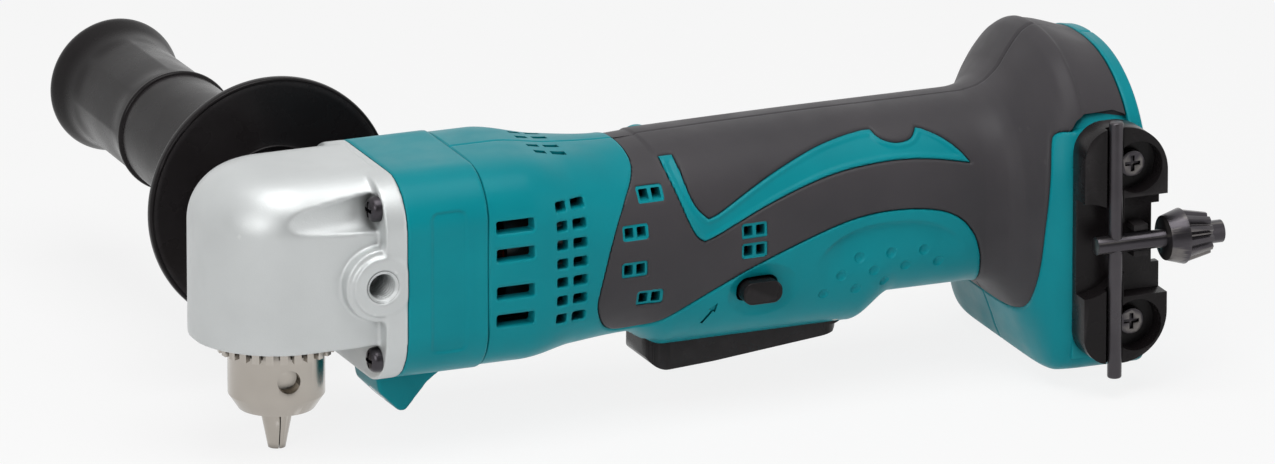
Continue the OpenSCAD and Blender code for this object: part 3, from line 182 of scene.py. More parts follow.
def noise(group, scale, detail):
    spot = group.nodes.new("ShaderNodeTexCoord").outputs["Object"]
    return wire(group, "TexNoise", {"Vector": spot, "Scale": scale, "Detail": detail}).outputs["Fac"]


grain, ends_in, ends_out = effect_group("grain", [("Scale", 1800)], ["Height"])
grain.links.new(noise(grain, ends_in.outputs["Scale"], 3), ends_out.inputs["Height"])

RANGE = [("Scale", 40), ("Low", 0.4), ("High", 0.6)]
patches, ends_in, ends_out = effect_group("patches", RANGE, ["Value"])
cloud = noise(patches, ends_in.outputs["Scale"], 4)
spread = wire(patches, "MapRange", {"Value": cloud, "From Min": 0.3, "From Max": 0.7,
                                    "To Min": ends_in.outputs["Low"], "To Max": ends_in.outputs["High"]})
patches.links.new(spread.outputs[0], ends_out.inputs["Value"])

rubbed, ends_in, ends_out = effect_group("rubbed_edges", [("From", 0.53), ("To", 0.62)], ["Mask"])
pointed = rubbed.nodes.new("ShaderNodeNewGeometry").outputs["Pointiness"]
ridge = wire(rubbed, "MapRange", {"Value": pointed, "From Min": ends_in.outputs["From"],
                                  "From Max": ends_in.outputs["To"]})
broken = wire(rubbed, "Math", {0: ridge.outputs[0], 1: noise(rubbed, 260, 4)}, operation="MULTIPLY")
rubbed.links.new(broken.outputs[0], ends_out.inputs["Mask"])

# Painted shade: ambient occlusion darkens the colour in hollows and corners, where shade falls.
painted_hollow_shade, ends_in, ends_out = effect_group("painted_hollow_shade", [("Reach", 0.003)], ["Mask"])
shade = wire(painted_hollow_shade, "AmbientOcclusion", {"Distance": ends_in.outputs["Reach"]}, samples=8)
deep = wire(painted_hollow_shade, "MapRange", {"Value": shade.outputs["AO"], "From Min": 0.75, "From Max": 0.2})
painted_hollow_shade.links.new(deep.outputs[0], ends_out.inputs["Mask"])
print("groups", [group.name for group in bpy.data.node_groups])

# %% [markdown]
# ## Materials
# Every finish is one Principled shader. Its colour runs between two near tones in broad patches, turns
# paler on rubbed edges and takes painted shade in hollows and corners, its roughness varies in patches of
# another size, and its grain feeds a bump. One function sets these up, because the finishes differ in
# their values and not in their make.

# %% Mix the finishes
COLOUR_PATCHES, GLOSS_PATCHES = 45, 103.5
# How dark the painted shade in hollows gets, as a share of the dark tone.
HOLLOW_SHADE_SHARE = 0.3


def tone(code):
    """A colour typed as six hexadecimal digits, in the linear values that shaders use."""
    parts = [int(code[i:i + 2], 16) / 255 for i in (0, 2, 4)]
    return tuple(p / 12.92 if p < 0.04045 else ((p + 0.055) / 1.055) ** 2.4 for p in parts)


def finish(name, tones, rough, grain_scale, grain_depth, sockets):
    material = bpy.data.materials.new(name)
    material.use_nodes = True
    tree = material.node_tree
    shader = tree.nodes["Principled BSDF"]
    for label, value in sockets.items():
        shader.inputs[label].default_value = value

    def group(which, **values):
        return wire(tree, "Group", values, node_tree=which).outputs[0]

    def mix(factor, first, second):
        node = wire(tree, "Mix", {}, data_type="RGBA")
        tree.links.new(factor, node.inputs["Factor"])
        for socket, value in ((node.inputs[6], first), (node.inputs[7], second)):
            if isinstance(value, tuple):
                socket.default_value = (*value, 1)
            else:
                tree.links.new(value, socket)
        return node.outputs[2]

    main, dark, rubbed_tone = (tone(code) for code in tones)
    colour = mix(group(patches, Scale=COLOUR_PATCHES, Low=0.0, High=1.0), main, dark)
    colour = mix(group(rubbed), colour, rubbed_tone)
    # Painted shade: hollows and corners turn darker through the ambient occlusion mask.
    colour = mix(group(painted_hollow_shade), colour, tuple(HOLLOW_SHADE_SHARE * part for part in dark))
    tree.links.new(colour, shader.inputs["Base Color"])
    gloss = group(patches, Scale=GLOSS_PATCHES, Low=rough[0], High=rough[1])
    tree.links.new(gloss, shader.inputs["Roughness"])
    height = group(grain, Scale=grain_scale)
    bump = wire(tree, "Bump", {"Strength": 1.0, "Distance": grain_depth * MM, "Height": height})
    tree.links.new(bump.outputs[0], shader.inputs["Normal"])
    return material


DULL, SOFT = {"Specular IOR Level": 0.15}, {"Specular IOR Level": 0.25}
CLEAR = {"Transmission Weight": 0.75, "IOR": 1.5}
FINISHES = {
    "teal_plastic": (("08929D", "078A95", "36A8B1"), (0.32, 0.44), 2600, 0.012, DULL),
    "soft_grip": (("434043", "3C3A3D", "484548"), (0.44, 0.56), 3000, 0.03, SOFT),
    "black_plastic": (("1E1B1C", "181516", "363334"), (0.22, 0.34), 1500, 0.02, DULL),
    "cast_alloy": (("D3D6D6", "CBCECE", "E0E2E2"), (0.36, 0.48), 2300, 0.035, {"Metallic": 0.45}),
    "steel": (("B2ACA4", "A59F97", "CBC6C0"), (0.14, 0.26), 3200, 0.006, {"Metallic": 1.0}),
    "dark_steel": (("4C494D", "3B383C", "87837F"), (0.24, 0.38), 1600, 0.01, {"Metallic": 0.85}),
    "copper": (("B4673C", "9A5632", "D08A5C"), (0.3, 0.45), 1500, 0.01, {"Metallic": 1.0}),
    "clear_lens": (("E6ECEE", "DCE4E7", "F4F8F8"), (0.05, 0.12), 900, 0.002, CLEAR),
    "board": (("2E6A40", "275A37", "8FAE8E"), (0.35, 0.5), 1500, 0.01, {}),
    "magnet": (("4A4644", "3E3B3A", "66625F"), (0.5, 0.65), 1800, 0.03, {}),
    "red_lead": (("B0221C", "9A1D18", "CC4A42"), (0.35, 0.5), 1500, 0.01, {}),
    "black_lead": (("232223", "1B1A1B", "3A3939"), (0.35, 0.5), 1500, 0.01, {}),
}
FINISH = {name: finish(name, *values) for name, values in FINISHES.items()}
SLOT_OF = {part["node"]: part["material_slot"]
           for part in frame["record"]["subparts"] if "material_slot" in part}
print("finishes", len(FINISH), "slots", len(SLOT_OF))

# %% [markdown]
# ## Tools of the trade
# A few short helpers do what the hand does in Blender: select one piece, apply a modifier, copy a CAD
# solid with its loose triangles merged, and hand a finished piece to the body that carries it.

# %% Define the helpers
def only(piece):
    bpy.ops.object.select_all(action="DESELECT")
    piece.select_set(True)
    bpy.context.view_layer.objects.active = piece


def apply(piece, kind, **values):
    only(piece)
    step = piece.modifiers.new(kind.title(), kind)
    for label, value in values.items():
        setattr(step, label, value)
    bpy.ops.object.modifier_apply(modifier=step.name)


def new_piece(name, mesh):
    piece = bpy.data.objects.new(name, mesh)
    bpy.context.scene.collection.objects.link(piece)
    return piece


def copy_of(node, name):
    """A copy of a CAD solid with its doubled points merged and its flat faces made whole."""
    piece = new_piece(name, frame["nodes"][node].data.copy())
    piece.data.materials.clear()
    only(piece)
    bpy.ops.mesh.customdata_custom_splitnormals_clear()
    bpy.ops.object.mode_set(mode="EDIT")
    bpy.ops.mesh.select_all(action="SELECT")
    bpy.ops.mesh.remove_doubles(threshold=0.002 * MM)
    bpy.ops.mesh.dissolve_limited(angle_limit=math.radians(0.5))
    bpy.ops.object.mode_set(mode="OBJECT")
    return piece


def points(piece):
    flat = np.empty(len(piece.data.vertices) * 3)
    piece.data.vertices.foreach_get("co", flat)
    return flat.reshape(-1, 3) / MM


def set_points(piece, places):
    piece.data.vertices.foreach_set("co", (places * MM).astype(np.float32).ravel())
    piece.data.update()


def smooth(piece, angle):
    only(piece)
    bpy.ops.object.shade_smooth_by_angle(angle=math.radians(angle))


def hand_over(piece, *nodes, body=None, slot=None):
    slot = slot or SLOT_OF[nodes[0]]
    body = body or BODY_OF[nodes[0]]
    piece.data.materials.clear()
    piece.data.materials.append(FINISH[slot])
    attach(piece, body)
    if nodes:
        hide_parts(*nodes)
    triangles = sum(len(face.vertices) - 2 for face in piece.data.polygons)
    print(piece.name, triangles, "triangles on", body)
    return piece


def carve(piece, cutter, how="DIFFERENCE", keep=False):
    apply(piece, "BOOLEAN", object=cutter, operation=how, solver="MANIFOLD")
    if not keep:
        bpy.data.objects.remove(cutter)


def join(pieces):
    bpy.ops.object.select_all(action="DESELECT")
    for piece in pieces:
        piece.select_set(True)
    bpy.context.view_layer.objects.active = pieces[0]
    bpy.ops.object.join()
    return pieces[0]


def prism(name, outline, low_y, high_y):
    """A plate with this outline in X and Z, in millimetres, from low_y to high_y."""
    mesh = bpy.data.meshes.new(name)
    build = bmesh.new()
    face = build.faces.new([build.verts.new((x * MM, low_y * MM, z * MM)) for x, z in outline])
    grown = bmesh.ops.extrude_face_region(build, geom=[face])["geom"]
    moved = [part for part in grown if isinstance(part, bmesh.types.BMVert)]
    bmesh.ops.translate(build, vec=(0, (high_y - low_y) * MM, 0), verts=moved)
    bmesh.ops.recalc_face_normals(build, faces=build.faces)
    build.to_mesh(mesh)
    build.free()
    return new_piece(name, mesh)


def block(name, low, high):
    corners = [(low[0], low[2]), (high[0], low[2]), (high[0], high[2]), (low[0], high[2])]
    return prism(name, corners, low[1], high[1])


def pill(x, z, w, h, r, steps=5):
    """The outline of a slot with rounded corners."""
    outline = []
    for quarter, (right, up) in enumerate([(1, 1), (-1, 1), (-1, -1), (1, -1)]):
        corner_x, corner_z = x + right * (w / 2 - r), z + up * (h / 2 - r)
        for k in range(steps + 1):
            turn = (quarter + k / steps) * math.pi / 2
            outline.append((corner_x + r * math.cos(turn), corner_z + r * math.sin(turn)))
    return outline


def flow(outline, times=4, closed=True):
    """Rounds an outline by cutting its corners again and again. A corner given three times stays sharp."""
    line = np.array(outline, float)
    for _ in range(times):
        here, after = (line, np.roll(line, -1, axis=0)) if closed else (line[:-1], line[1:])
        cut = np.stack([0.75 * here + 0.25 * after, 0.25 * here + 0.75 * after], axis=1).reshape(-1, 2)
        line = cut if closed else np.concatenate([line[:1], cut, line[-1:]])
    return [tuple(p) for p in line]


def sharp(x, z):
    return [(x, z)] * 3


def away(places, line):
    """Distance in X and Z from each place to a closed outline."""
    ends = np.array([*line, line[0]], float)
    spot = places[:, [0, 2]]
    best = np.full(len(spot), 1e9)
    for a, b in zip(ends[:-1], ends[1:]):
        span = b - a
        t = np.clip(((spot - a) @ span) / max(span @ span, 1e-12), 0, 1)
        best = np.minimum(best, np.hypot(*(spot - a - t[:, None] * span).T))
    return best


def inside(places, line):
    """Which places lie within a closed outline in X and Z."""
    x, z = places[:, 0], places[:, 2]
    within = np.zeros(len(places), bool)
    for (ax, az), (bx, bz) in zip(line, list(line[1:]) + [line[0]]):
        if az != bz:
            within ^= ((az > z) != (bz > z)) & (x < ax + (z - az) * (bx - ax) / (bz - az))
    return within


def eased(value):
    """Runs smoothly from 0 to 1."""
    t = np.clip(value, 0, 1)
    return t * t * (3 - 2 * t)


def turned(name, profile, sides, axis, at, shape=None, tube=False):
    """A turned piece. Each point of the profile is a radius and a place along the axis, X or Y."""
    turn = np.arange(sides) * 2 * math.pi / sides
    build = bmesh.new()
    rows = []
    for r, h in profile:
        if r == 0:
            rows.append([build.verts.new((0, 0, h * MM))])
            continue
        radii, heights = shape(r, h, turn) if shape else (r, h)
        circle = np.broadcast_arrays(radii * np.cos(turn), radii * np.sin(turn), heights)
        rows.append([build.verts.new(place * MM) for place in np.stack(circle, axis=1)])
    for low, high in zip(rows, rows[1:] + (rows[:1] if tube else [])):
        for k in range(sides):
            after = k + 1
            corners = [low[k % len(low)], low[after % len(low)],
                       high[after % len(high)], high[k % len(high)]]
            build.faces.new(list(dict.fromkeys(corners)))
    bmesh.ops.recalc_face_normals(build, faces=build.faces)
    mesh = bpy.data.meshes.new(name)
    build.to_mesh(mesh)
    build.free()
    quarter = math.pi / 2
    lay = Matrix.Rotation(quarter, 4, "Y") if axis == "X" else Matrix.Rotation(-quarter, 4, "X")
    mesh.transform(Matrix.Translation(Vector(at) * MM) @ lay)
    return new_piece(name, mesh)


def rolled(distance, radius):
    """How far a surface sinks where it rounds off towards an edge."""
    gap = np.clip(radius - distance, 0, radius)
    return radius - np.sqrt(radius * radius - gap * gap)


print("helpers ready")

# %% [markdown]
# ## The handle's form
# The handle is two half shells that close on the middle plane. Its section runs from a rounded square
# at the motor through the belly of the switch and a round grip to the wide tail. It could be sculpted,
# but then it would drift from the CAD part. Here a grid is rolled up along the same sections, with one
# smooth curve through each of their sizes.

# %% Roll a grid along the sections
SEAM = 0.06
GRIP = (23.5, 26, 24, 2.2, 2.6)
TAIL = (38, 42, 45, 2.3, 8)
HANDLE_FROM, HANDLE_TO, AXIS_Z = 48.5, 231, 48
OPENING = ((0.09, 0.02, 0, 0.01), (0.26, 0.1, 0.03, 0.07), (0.4, 0.28, 0.11, 0.25),
           (0.51, 0.52, 0.24, 0.55), (0.58, 0.68, 0.35, 0.78), (0.66, 0.82, 0.53, 0.95),
           (0.77, 0.93, 0.76, 1), (0.88, 0.98, 0.93, 1))
FLARE_FROM, FLARE_LONG = 190, 23.5
FLARE = []
for place, wide, up, down in OPENING:
    grown = [g + (t - g) * part for g, t, part in zip(GRIP, TAIL, (wide, up, down, up, down))]
    FLARE.append((FLARE_FROM + FLARE_LONG * place, *grown))
SECTIONS = np.array([(48.5, 27.5, 27.8, 27.8, 4, 4), (60, 27.5, 27.8, 27.8, 4, 4),
                     (76.5, 26.3, 25.7, 26.9, 2.8, 2.8), (93, 25.5, 24.8, 26, 2.2, 2.6),
                     (104, 25, 25.28, 31, 2.2, 2.6), (156.5, 23.5, 26, 31, 2.2, 2.6), (167.5, *GRIP),
                     (190, *GRIP), *FLARE, (213.5, *TAIL), (231, 38, 37.8, 45, 2.3, 8)])


def curve_through(x, known_x, known):
    """A smooth curve through known values that never overshoots them."""
    step = np.diff(known_x)
    slope = np.diff(known) / step
    lean = np.zeros(len(known))
    same = slope[:-1] * slope[1:] > 0
    lean[1:-1][same] = 2 / (1 / slope[:-1][same] + 1 / slope[1:][same])
    i = np.clip(np.searchsorted(known_x, x, side="right") - 1, 0, len(step) - 1)
    t = np.clip((x - known_x[i]) / step[i], 0, 1)
    return (known[i] * (1 + 2 * t) * (1 - t) ** 2 + step[i] * lean[i] * t * (1 - t) ** 2
            + known[i + 1] * t * t * (3 - 2 * t) + step[i] * lean[i + 1] * t * t * (t - 1))


def section(x):
    return [curve_through(np.asarray(x, float), SECTIONS[:, 0], SECTIONS[:, k]) for k in range(1, 6)]


def sizes_at(x):
    """The half width, rise, drop and two powers of the section at one place."""
    return [float(v[0]) for v in section([x])]


def ring(x, inset, shares):
    """Places round one half of a section, spaced evenly, from its lowest to its highest point."""
    width, rise, drop, upper, lower = sizes_at(x)
    turn = np.linspace(-math.pi / 2, math.pi / 2, 3001)
    power = np.where(turn < 0, lower, upper)
    y = -(width - inset) * np.abs(np.cos(turn)) ** (2 / power)
    z = np.where(turn < 0, -(drop - inset), rise - inset) * np.abs(np.sin(turn)) ** (2 / power)
    length = np.concatenate([[0], np.cumsum(np.hypot(np.diff(y), np.diff(z)))])
    along = shares * length[-1]
    return np.interp(along, length, y), np.interp(along, length, z) + AXIS_Z


def rolled_grid(name, low, high, inset, rings, sides, whole=False):
    """A closed form along the sections: the near half of the handle, or the whole of it."""
    bpy.ops.object.select_all(action="DESELECT")
    bpy.ops.mesh.primitive_grid_add(x_subdivisions=rings, y_subdivisions=sides, size=1)
    piece = bpy.context.object
    piece.name = name
    flat = points(piece) * MM
    column, which = np.unique(np.round(flat[:, 0], 6), return_inverse=True)
    row, place = np.unique(np.round(flat[:, 1], 6), return_inverse=True)
    shares = np.linspace(0, 2 if whole else 1, len(row))
    round_y, round_z = np.empty((len(column), len(row))), np.empty((len(column), len(row)))
    fine = np.linspace(low, high, 4001)
    moves = np.stack([np.diff(v) for v in [fine, *section(fine)[:3]]])
    way = np.concatenate([[0], np.cumsum(np.sqrt(np.sum(moves ** 2, axis=0)))])
    xs = np.interp((column + 0.5) * way[-1], way, fine)
    for i, x in enumerate(xs):
        y, z = ring(x, inset, np.where(shares > 1, 2 - shares, shares))
        round_y[i], round_z[i] = np.where(shares > 1, -y, y), z
    seam = 0 if whole else SEAM
    rolled_y, rolled_z = round_y[which, place] - seam, round_z[which, place]
    set_points(piece, np.stack([xs[which], rolled_y, rolled_z], axis=1))
    build = bmesh.new()
    build.from_mesh(piece.data)
    build.verts.ensure_lookup_table()
    order = {(which[n], place[n]): build.verts[n] for n in range(len(flat))}
    last, top = len(column) - 1, len(row) - 1
    for i in (0, last):
        build.faces.new([order[i, k] for k in range(top + (0 if whole else 1))])
    if not whole:
        below = [order[i, 0] for i in range(last + 1)]
        above = [order[i, top] for i in range(last, -1, -1)]
        build.faces.new(below + above)
    else:
        bmesh.ops.remove_doubles(build, verts=build.verts, dist=0.02 * MM)
    bmesh.ops.recalc_face_normals(build, faces=build.faces)
    build.to_mesh(piece.data)
    build.free()
    return piece


def level(places):
    """Below zero inside the handle's form, zero on it and above zero outside."""
    width, rise, drop, upper, lower = section(places[:, 0])
    dz = places[:, 2] - AXIS_Z
    power = np.where(dz < 0, lower, upper)
    return ((np.maximum(np.abs(places[:, 1]) - SEAM, 0) / width) ** power
            + (np.abs(dz) / np.where(dz < 0, drop, rise)) ** power) - 1


def on_surface(places):
    """Which places lie on the handle's outer face, and the way out of it there."""
    reach = 0.02
    rises = [level(places + step) - level(places - step) for step in np.eye(3) * reach]
    slope = np.stack(rises, axis=1) / (2 * reach)
    steep = np.maximum(np.linalg.norm(slope, axis=1), 1e-9)
    return np.abs(level(places)) / steep < 0.2, slope / steep[:, None]


def sink(piece, depth):
    """Presses the outer face of a handle piece in by the given depth at each place."""
    places = points(piece)
    outer, out = on_surface(places)
    set_points(piece, places - out * (depth * outer)[:, None])


print("sections", len(SECTIONS))

# %% [markdown]
# ## Lines on the handle
# The soft skin ends on a flowing line, a teal inlay curls through it, and small windows and slots let
# air in. The lines are drawn once, in the side view, and serve both halves. Rounding a rough outline
# again and again gives the calm curve that a toolmaker would cut.

# %% Draw the lines
SKIN = flow([(91.9, 99.7), (93.8, 76), (94.5, 70.8), (92.5, 67.2), (88.8, 62.7), (84.4, 54.8),
             (81, 42.1), (79.8, 35.6), (81.4, 30.9), (84, 27.5), (88, 25.6), (96.5, 26.3), (105, 31.4),
             (116, 36.9), (126.9, 41.6), (142, 47), (153.6, 50.4), (165, 51.3), (176.7, 50),
             (183.3, 47), (187.3, 42.1), (189.5, 36), (190.8, 29.4), (192.5, 24.3), (194.5, 20.6),
             (197.4, 17.6), (199.6, 17.4), (200.6, 20), (201.2, 25), (202.4, 33), (203.2, 45),
             (204.2, 57), (205.2, 66), (206.4, 69.8), (212, 70.1), (220, 70.3), *sharp(227, 70.35),
             (227, 80), (227, 99.7)])
INLAY = flow([*sharp(102, 70.5), (103.5, 70.6), *sharp(105.8, 70.6), (105.9, 69.1), (106.8, 62.3),
              (108.6, 58), *sharp(111.7, 55.2), (114.7, 56.1), (123.2, 60.6), (132.8, 64.8),
              (144.2, 68.5), (152.1, 70), (159, 70.8), *sharp(161.8, 70.8), (163, 69.2), (164.6, 68.2),
              (167.8, 67.3), (171.6, 67.7), (173.2, 68.7), *sharp(174.4, 70.1), (176.3, 69.7),
              (180.7, 67.5), (184.4, 64.5), *sharp(187, 61), (184.3, 61.6), (177.7, 62.9),
              (169.4, 63.8), (160.1, 63.7), (149.1, 62.6), (138.7, 60.1), (128.2, 56.7), (119.3, 53),
              (114.2, 50.7), *sharp(110.3, 49.5), (107.9, 51.1), (105.5, 56.5), (103.5, 63.2),
              (102.3, 67.4)], 3)
CREASE = flow([(142.1, 39.2), (144.8, 42.3), (149, 45.3), (154.7, 47.3), (161.8, 48), (170.4, 47.6),
               (177.5, 45.6), (182.4, 42.3), (185.5, 37.6)], 2, closed=False)
STEP = [(110.3, 49.5), (107.9, 51.1), (105.5, 56.5), (103.5, 63.2), (102.3, 67.4), (101.8, 70.5),
        (99.4, 78)]
DIMPLES = [(154.8, 39.3), (163.9, 39.5), (173.4, 39.1), (149.8, 34.8), (159, 35.1), (168.3, 35.2),
           (177.7, 35.2), (145.2, 30), (154.3, 30.3), (162.7, 31.3)]
WINDOW_AT = [(96.4, 63.3), (90.7, 54.4), (90.3, 44.4), (95, 35.8), (124.6, 50.6), (124.6, 45.2)]
WINDOWS = [pill(x, z, 7.4, 4.2, 0.7) for x, z in WINDOW_AT]
SLOTS = [pill(56.1, z, 10.6, 3.5, 0.6) for z in (60.9, 53.4, 43.2, 35.6)]
VENT_ROWS = [48.95 + 5.06 * row for row in range(-3, 4)]
VENTS = [pill(x, z, w, 2.7, 0.6) for x, w in ((69.5, 3.2), (74.6, 4.1)) for z in VENT_ROWS]
BARRED = [pill(x + side * 1.75, z, 2.5, 2.8, 0.35) for x, z in WINDOW_AT for side in (-1, 1)]
LEVER_HOLE = pill(126, 34, 12, 7, 2.9, 8)
ARROW = [(110.6, 26.1), (111.3, 25.7), (113.6, 29.3), (114.3, 28.9), (114.7, 31.6), (112.3, 30.1),
         (112.9, 29.7)]
HOLDER_ROOM = [(208.7, 8.7), (208.7, 66.5), (209.6, 69.4), (212, 72.5), (214.3, 73.8), (223, 73.8),
               (226, 72.6), (228.8, 70.4), (231.8, 66.2), (234.3, 64), (234.3, 8.7)]
OPENINGS = SLOTS + VENTS + BARRED
print("outlines", 2 + len(WINDOWS) + len(OPENINGS))

# %% [markdown]
# ## Half shells and soft skins
# A half shell is a rolled grid with its inside hollowed out and a pocket cut for the soft skin. The
# skin is what the pocket took away. Cutting both from one grid makes them fit. Then the edges are
# rolled in a little, because a moulded edge is never sharp, and this gives the thin shadow line between
# the hard and the soft plastic.

# %% Cut the near half
SKIN_THICK, WALL = 1.6, 4.2
HOLLOW_FROM, HOLLOW_TO = 46, 212
BAY_FROM, BAY_HALF_WIDE, BAY_WALL = 216, 30, 8
PAST_TAIL = 234
OUTSIDE, FAR_OUTSIDE, BEHIND_WALL = -60, -70, -4
half = rolled_grid("handle_shell_near_moulded", HANDLE_FROM, HANDLE_TO, 0, 420, 190)
skin = new_piece("soft_skin_near_moulded", half.data.copy())
pocket = prism("pocket", SKIN, OUTSIDE, 1)
carve(pocket, prism("inlay", INLAY, FAR_OUTSIDE, 2))
carve(pocket, join([prism("window", line, FAR_OUTSIDE, 2) for line in WINDOWS]))
carve(pocket, rolled_grid("inner", HOLLOW_FROM, PAST_TAIL, SKIN_THICK, 150, 120, whole=True))
carve(half, pocket, keep=True)
carve(skin, pocket, "INTERSECT")
carve(half, rolled_grid("hollow", HOLLOW_FROM, HOLLOW_TO, WALL, 80, 64, whole=True))
carve(half, join([prism("opening", line, FAR_OUTSIDE, BEHIND_WALL) for line in OPENINGS]))
carve(half, join([block("top_vent", (x - w / 2, y - 1, 60), (x + w / 2, y + 1, 90))
                  for x, w in ((70.2, 3.2), (75.3, 4.1)) for y in (-4, -9.2)]))
carve(half, prism("lever_hole", LEVER_HOLE, FAR_OUTSIDE, BEHIND_WALL))
carve(half, block("paddle_slot", (99.1, -10.8, -5), (156.4, 5, 25.6)))
bay = rolled_grid("battery_bay", BAY_FROM, HANDLE_TO + 2, BAY_WALL, 30, 120, whole=True)
mouth = block("bay_mouth", (BAY_FROM, -BAY_HALF_WIDE, -20), (PAST_TAIL, BAY_HALF_WIDE, AXIS_Z))
carve(bay, mouth, "UNION")
carve(bay, block("rail", (224.5, -BAY_HALF_WIDE - 1, 12), (228, -26, 68)))
carve(half, bay)
arrow = prism("arrow", ARROW, OUTSIDE, BEHIND_WALL)
carve(arrow, rolled_grid("arrow_floor", 100, 130, 0.45, 40, 120, whole=True))
carve(half, arrow)
print("near half", len(half.data.polygons), "skin", len(skin.data.polygons))

# %% Press in the thumb rest, the dimples and the lever's dish, and roll the edges
REST_FROM, REST_TO, REST_FADE = 142, 186, 9
REST_DEPTH, REST_TALL = 1.2, 13
DISH_X, DISH_Z, DISH_DEPTH = 127.5, 33.5, 1.5
DISH_HALF_WIDE, DISH_HALF_TALL = 10, 7.5
INLAY_DEPTH, WINDOW_DEPTH, STEP_DEPTH, TAIL_DEPTH = 0.35, 0.7, 0.4, 0.45
CUT_EDGE, MEETING_EDGE, SKIN_EDGE, TAIL_EDGE = 0.35, 0.5, 0.9, 1.0
DIMPLE_R, DIMPLE_RAISED = 2.1, 1.4


def marks(places):
    """Depth of the thumb rest and of the dish round the lever."""
    x, z = places[:, 0], places[:, 2]
    below = np.interp(x, *zip(*CREASE)) - z
    ends = eased((x - REST_FROM) / REST_FADE) * eased((REST_TO - x) / REST_FADE)
    rest = REST_DEPTH * ends * eased(below / 1.6 + 0.3) * eased((REST_TALL - below) / 12)
    dish = 1 - ((x - DISH_X) / DISH_HALF_WIDE) ** 2 - ((z - DISH_Z) / DISH_HALF_TALL) ** 2
    return rest + DISH_DEPTH * np.clip(dish, 0, 1) ** 0.8


def shell_depth(places):
    """Depth of every mark on the hard shell, with its edges rolled in."""
    sunk = INLAY_DEPTH * inside(places, INLAY) * eased((away(places, INLAY) - 0.9) / 0.5)
    depth = marks(places) + sunk
    for line in WINDOWS:
        depth = np.maximum(depth, WINDOW_DEPTH * inside(places, line))
    for line in [SKIN, INLAY] + WINDOWS:
        depth = np.maximum(depth, rolled(away(places, line), MEETING_EDGE))
    for line in OPENINGS + [LEVER_HOLE]:
        depth = np.maximum(depth, rolled(away(places, line), CUT_EDGE))
    depth = np.maximum(depth, rolled(np.abs(places[:, 1]) - SEAM, CUT_EDGE))
    depth = np.maximum(depth, rolled(places[:, 0] - HANDLE_FROM, MEETING_EDGE))
    return np.maximum(depth, rolled(HANDLE_TO - places[:, 0], TAIL_EDGE))


def skin_depth(places):
    """Depth of the two steps on the soft skin, with its edges rolled in."""
    step_x = np.interp(places[:, 2], *zip(*[(z, x) for x, z in STEP]))
    depth = STEP_DEPTH * eased((step_x - places[:, 0]) / 0.8) * eased((places[:, 2] - 50) / 6)
    depth = np.maximum(depth, TAIL_DEPTH * eased((places[:, 0] - 214) / 0.7))
    depth = np.maximum(depth, rolled(np.abs(places[:, 1]) - SEAM, CUT_EDGE))
    for line in [SKIN, INLAY]:
        depth = np.maximum(depth, rolled(away(places, line), SKIN_EDGE))
    for line in WINDOWS:
        depth = np.maximum(depth, rolled(away(places, line), MEETING_EDGE))
    return depth


sink(half, shell_depth(points(half)))
sink(skin, skin_depth(points(skin)))
for x, z in DIMPLES:
    out_y = np.linspace(-40, 0, 4001)
    line = np.stack([np.full(4001, x), out_y, np.full(4001, z)], axis=1)
    spot = line[[np.argmin(np.abs(level(line)))]]
    out = on_surface(spot)[1][0]
    middle = spot[0] + out * (DIMPLE_RAISED - marks(spot)[0])
    bpy.ops.mesh.primitive_uv_sphere_add(segments=24, ring_count=16, radius=DIMPLE_R * MM,
                                         location=middle * MM)
    ball = bpy.context.object
    bpy.ops.object.transform_apply()
    carve(half, ball)
print("edges rolled and dimples cut")

# %% Mirror it for the far half
def mirrored(piece, name):
    other = new_piece(name, piece.data.copy())
    other.data.transform(Matrix.Diagonal((1, -1, 1, 1)))
    other.data.flip_normals()
    return other


far_half = mirrored(half, "handle_shell_far_moulded")
far_skin = mirrored(skin, "soft_skin_far_moulded")
PAD_Y = -37.4
carve(half, block("holder_pad", (209.2, PAD_Y, 9), (HANDLE_TO, -BAY_HALF_WIDE, 61)), "UNION")
carve(half, prism("holder_room", HOLDER_ROOM, OUTSIDE, PAD_Y))
carve(skin, prism("holder_room", HOLDER_ROOM, OUTSIDE, -BAY_HALF_WIDE))
print("halves", half.name, far_half.name)

# %% Add the screw bosses of the far half
BOSSES = ((103.97, 31.04), (107.9, 64.68), (152.97, 60.8), (179, 61.9), (180.4, 34.1))
for x, z in BOSSES:
    width, rise, drop, upper, lower = sizes_at(x)
    tall, power = (rise, upper) if z > AXIS_Z else (drop, lower)
    top = width * (1 - (abs(z - AXIS_Z) / tall) ** power) ** (1 / power) - 2.2
    boss = turned("boss", [(0, 0.3), (5, 0.3), (5, top), (0, top)], 48, "Y", (x, 0, z))
    carve(far_half, boss, "UNION")
    for piece in (far_half, far_skin):
        carve(piece, turned("counterbore", [(0, 12), (3.7, 12), (3.7, 60), (0, 60)], 48, "Y", (x, 0, z)))
    carve(far_half, turned("shank_hole", [(0, -1), (1.8, -1), (1.8, 13), (0, 13)], 32, "Y", (x, 0, z)))
print("bosses", len(BOSSES))

# %% Hand the four pieces over
for piece, node in ((half, "handle_shell_near"), (far_half, "handle_shell_far"), (skin, "soft_skin_near"),
                    (far_skin, "soft_skin_far")):
    smooth(piece, 40)
    hand_over(piece, node)

# %% [markdown]
# ## Cast and moulded bodies
# The gear housing is an aluminium casting and the motor bracket a moulding: their solids have the right
# planes, and a real casting has a small radius on every edge and a fillet in every corner. A bevel
# can't follow such corners. A voxel remesh turns the whole solid into an even net, and smoothing the
# net rounds all of it at once.

# %% Soften the castings
def cast_piece(node, voxel, rounds, name):
    piece = copy_of(node, name)
    apply(piece, "REMESH", mode="VOXEL", voxel_size=voxel * MM, adaptivity=0.0)
    apply(piece, "SMOOTH", factor=0.5, iterations=rounds)
    only(piece)
    bpy.ops.object.shade_smooth()
    return piece


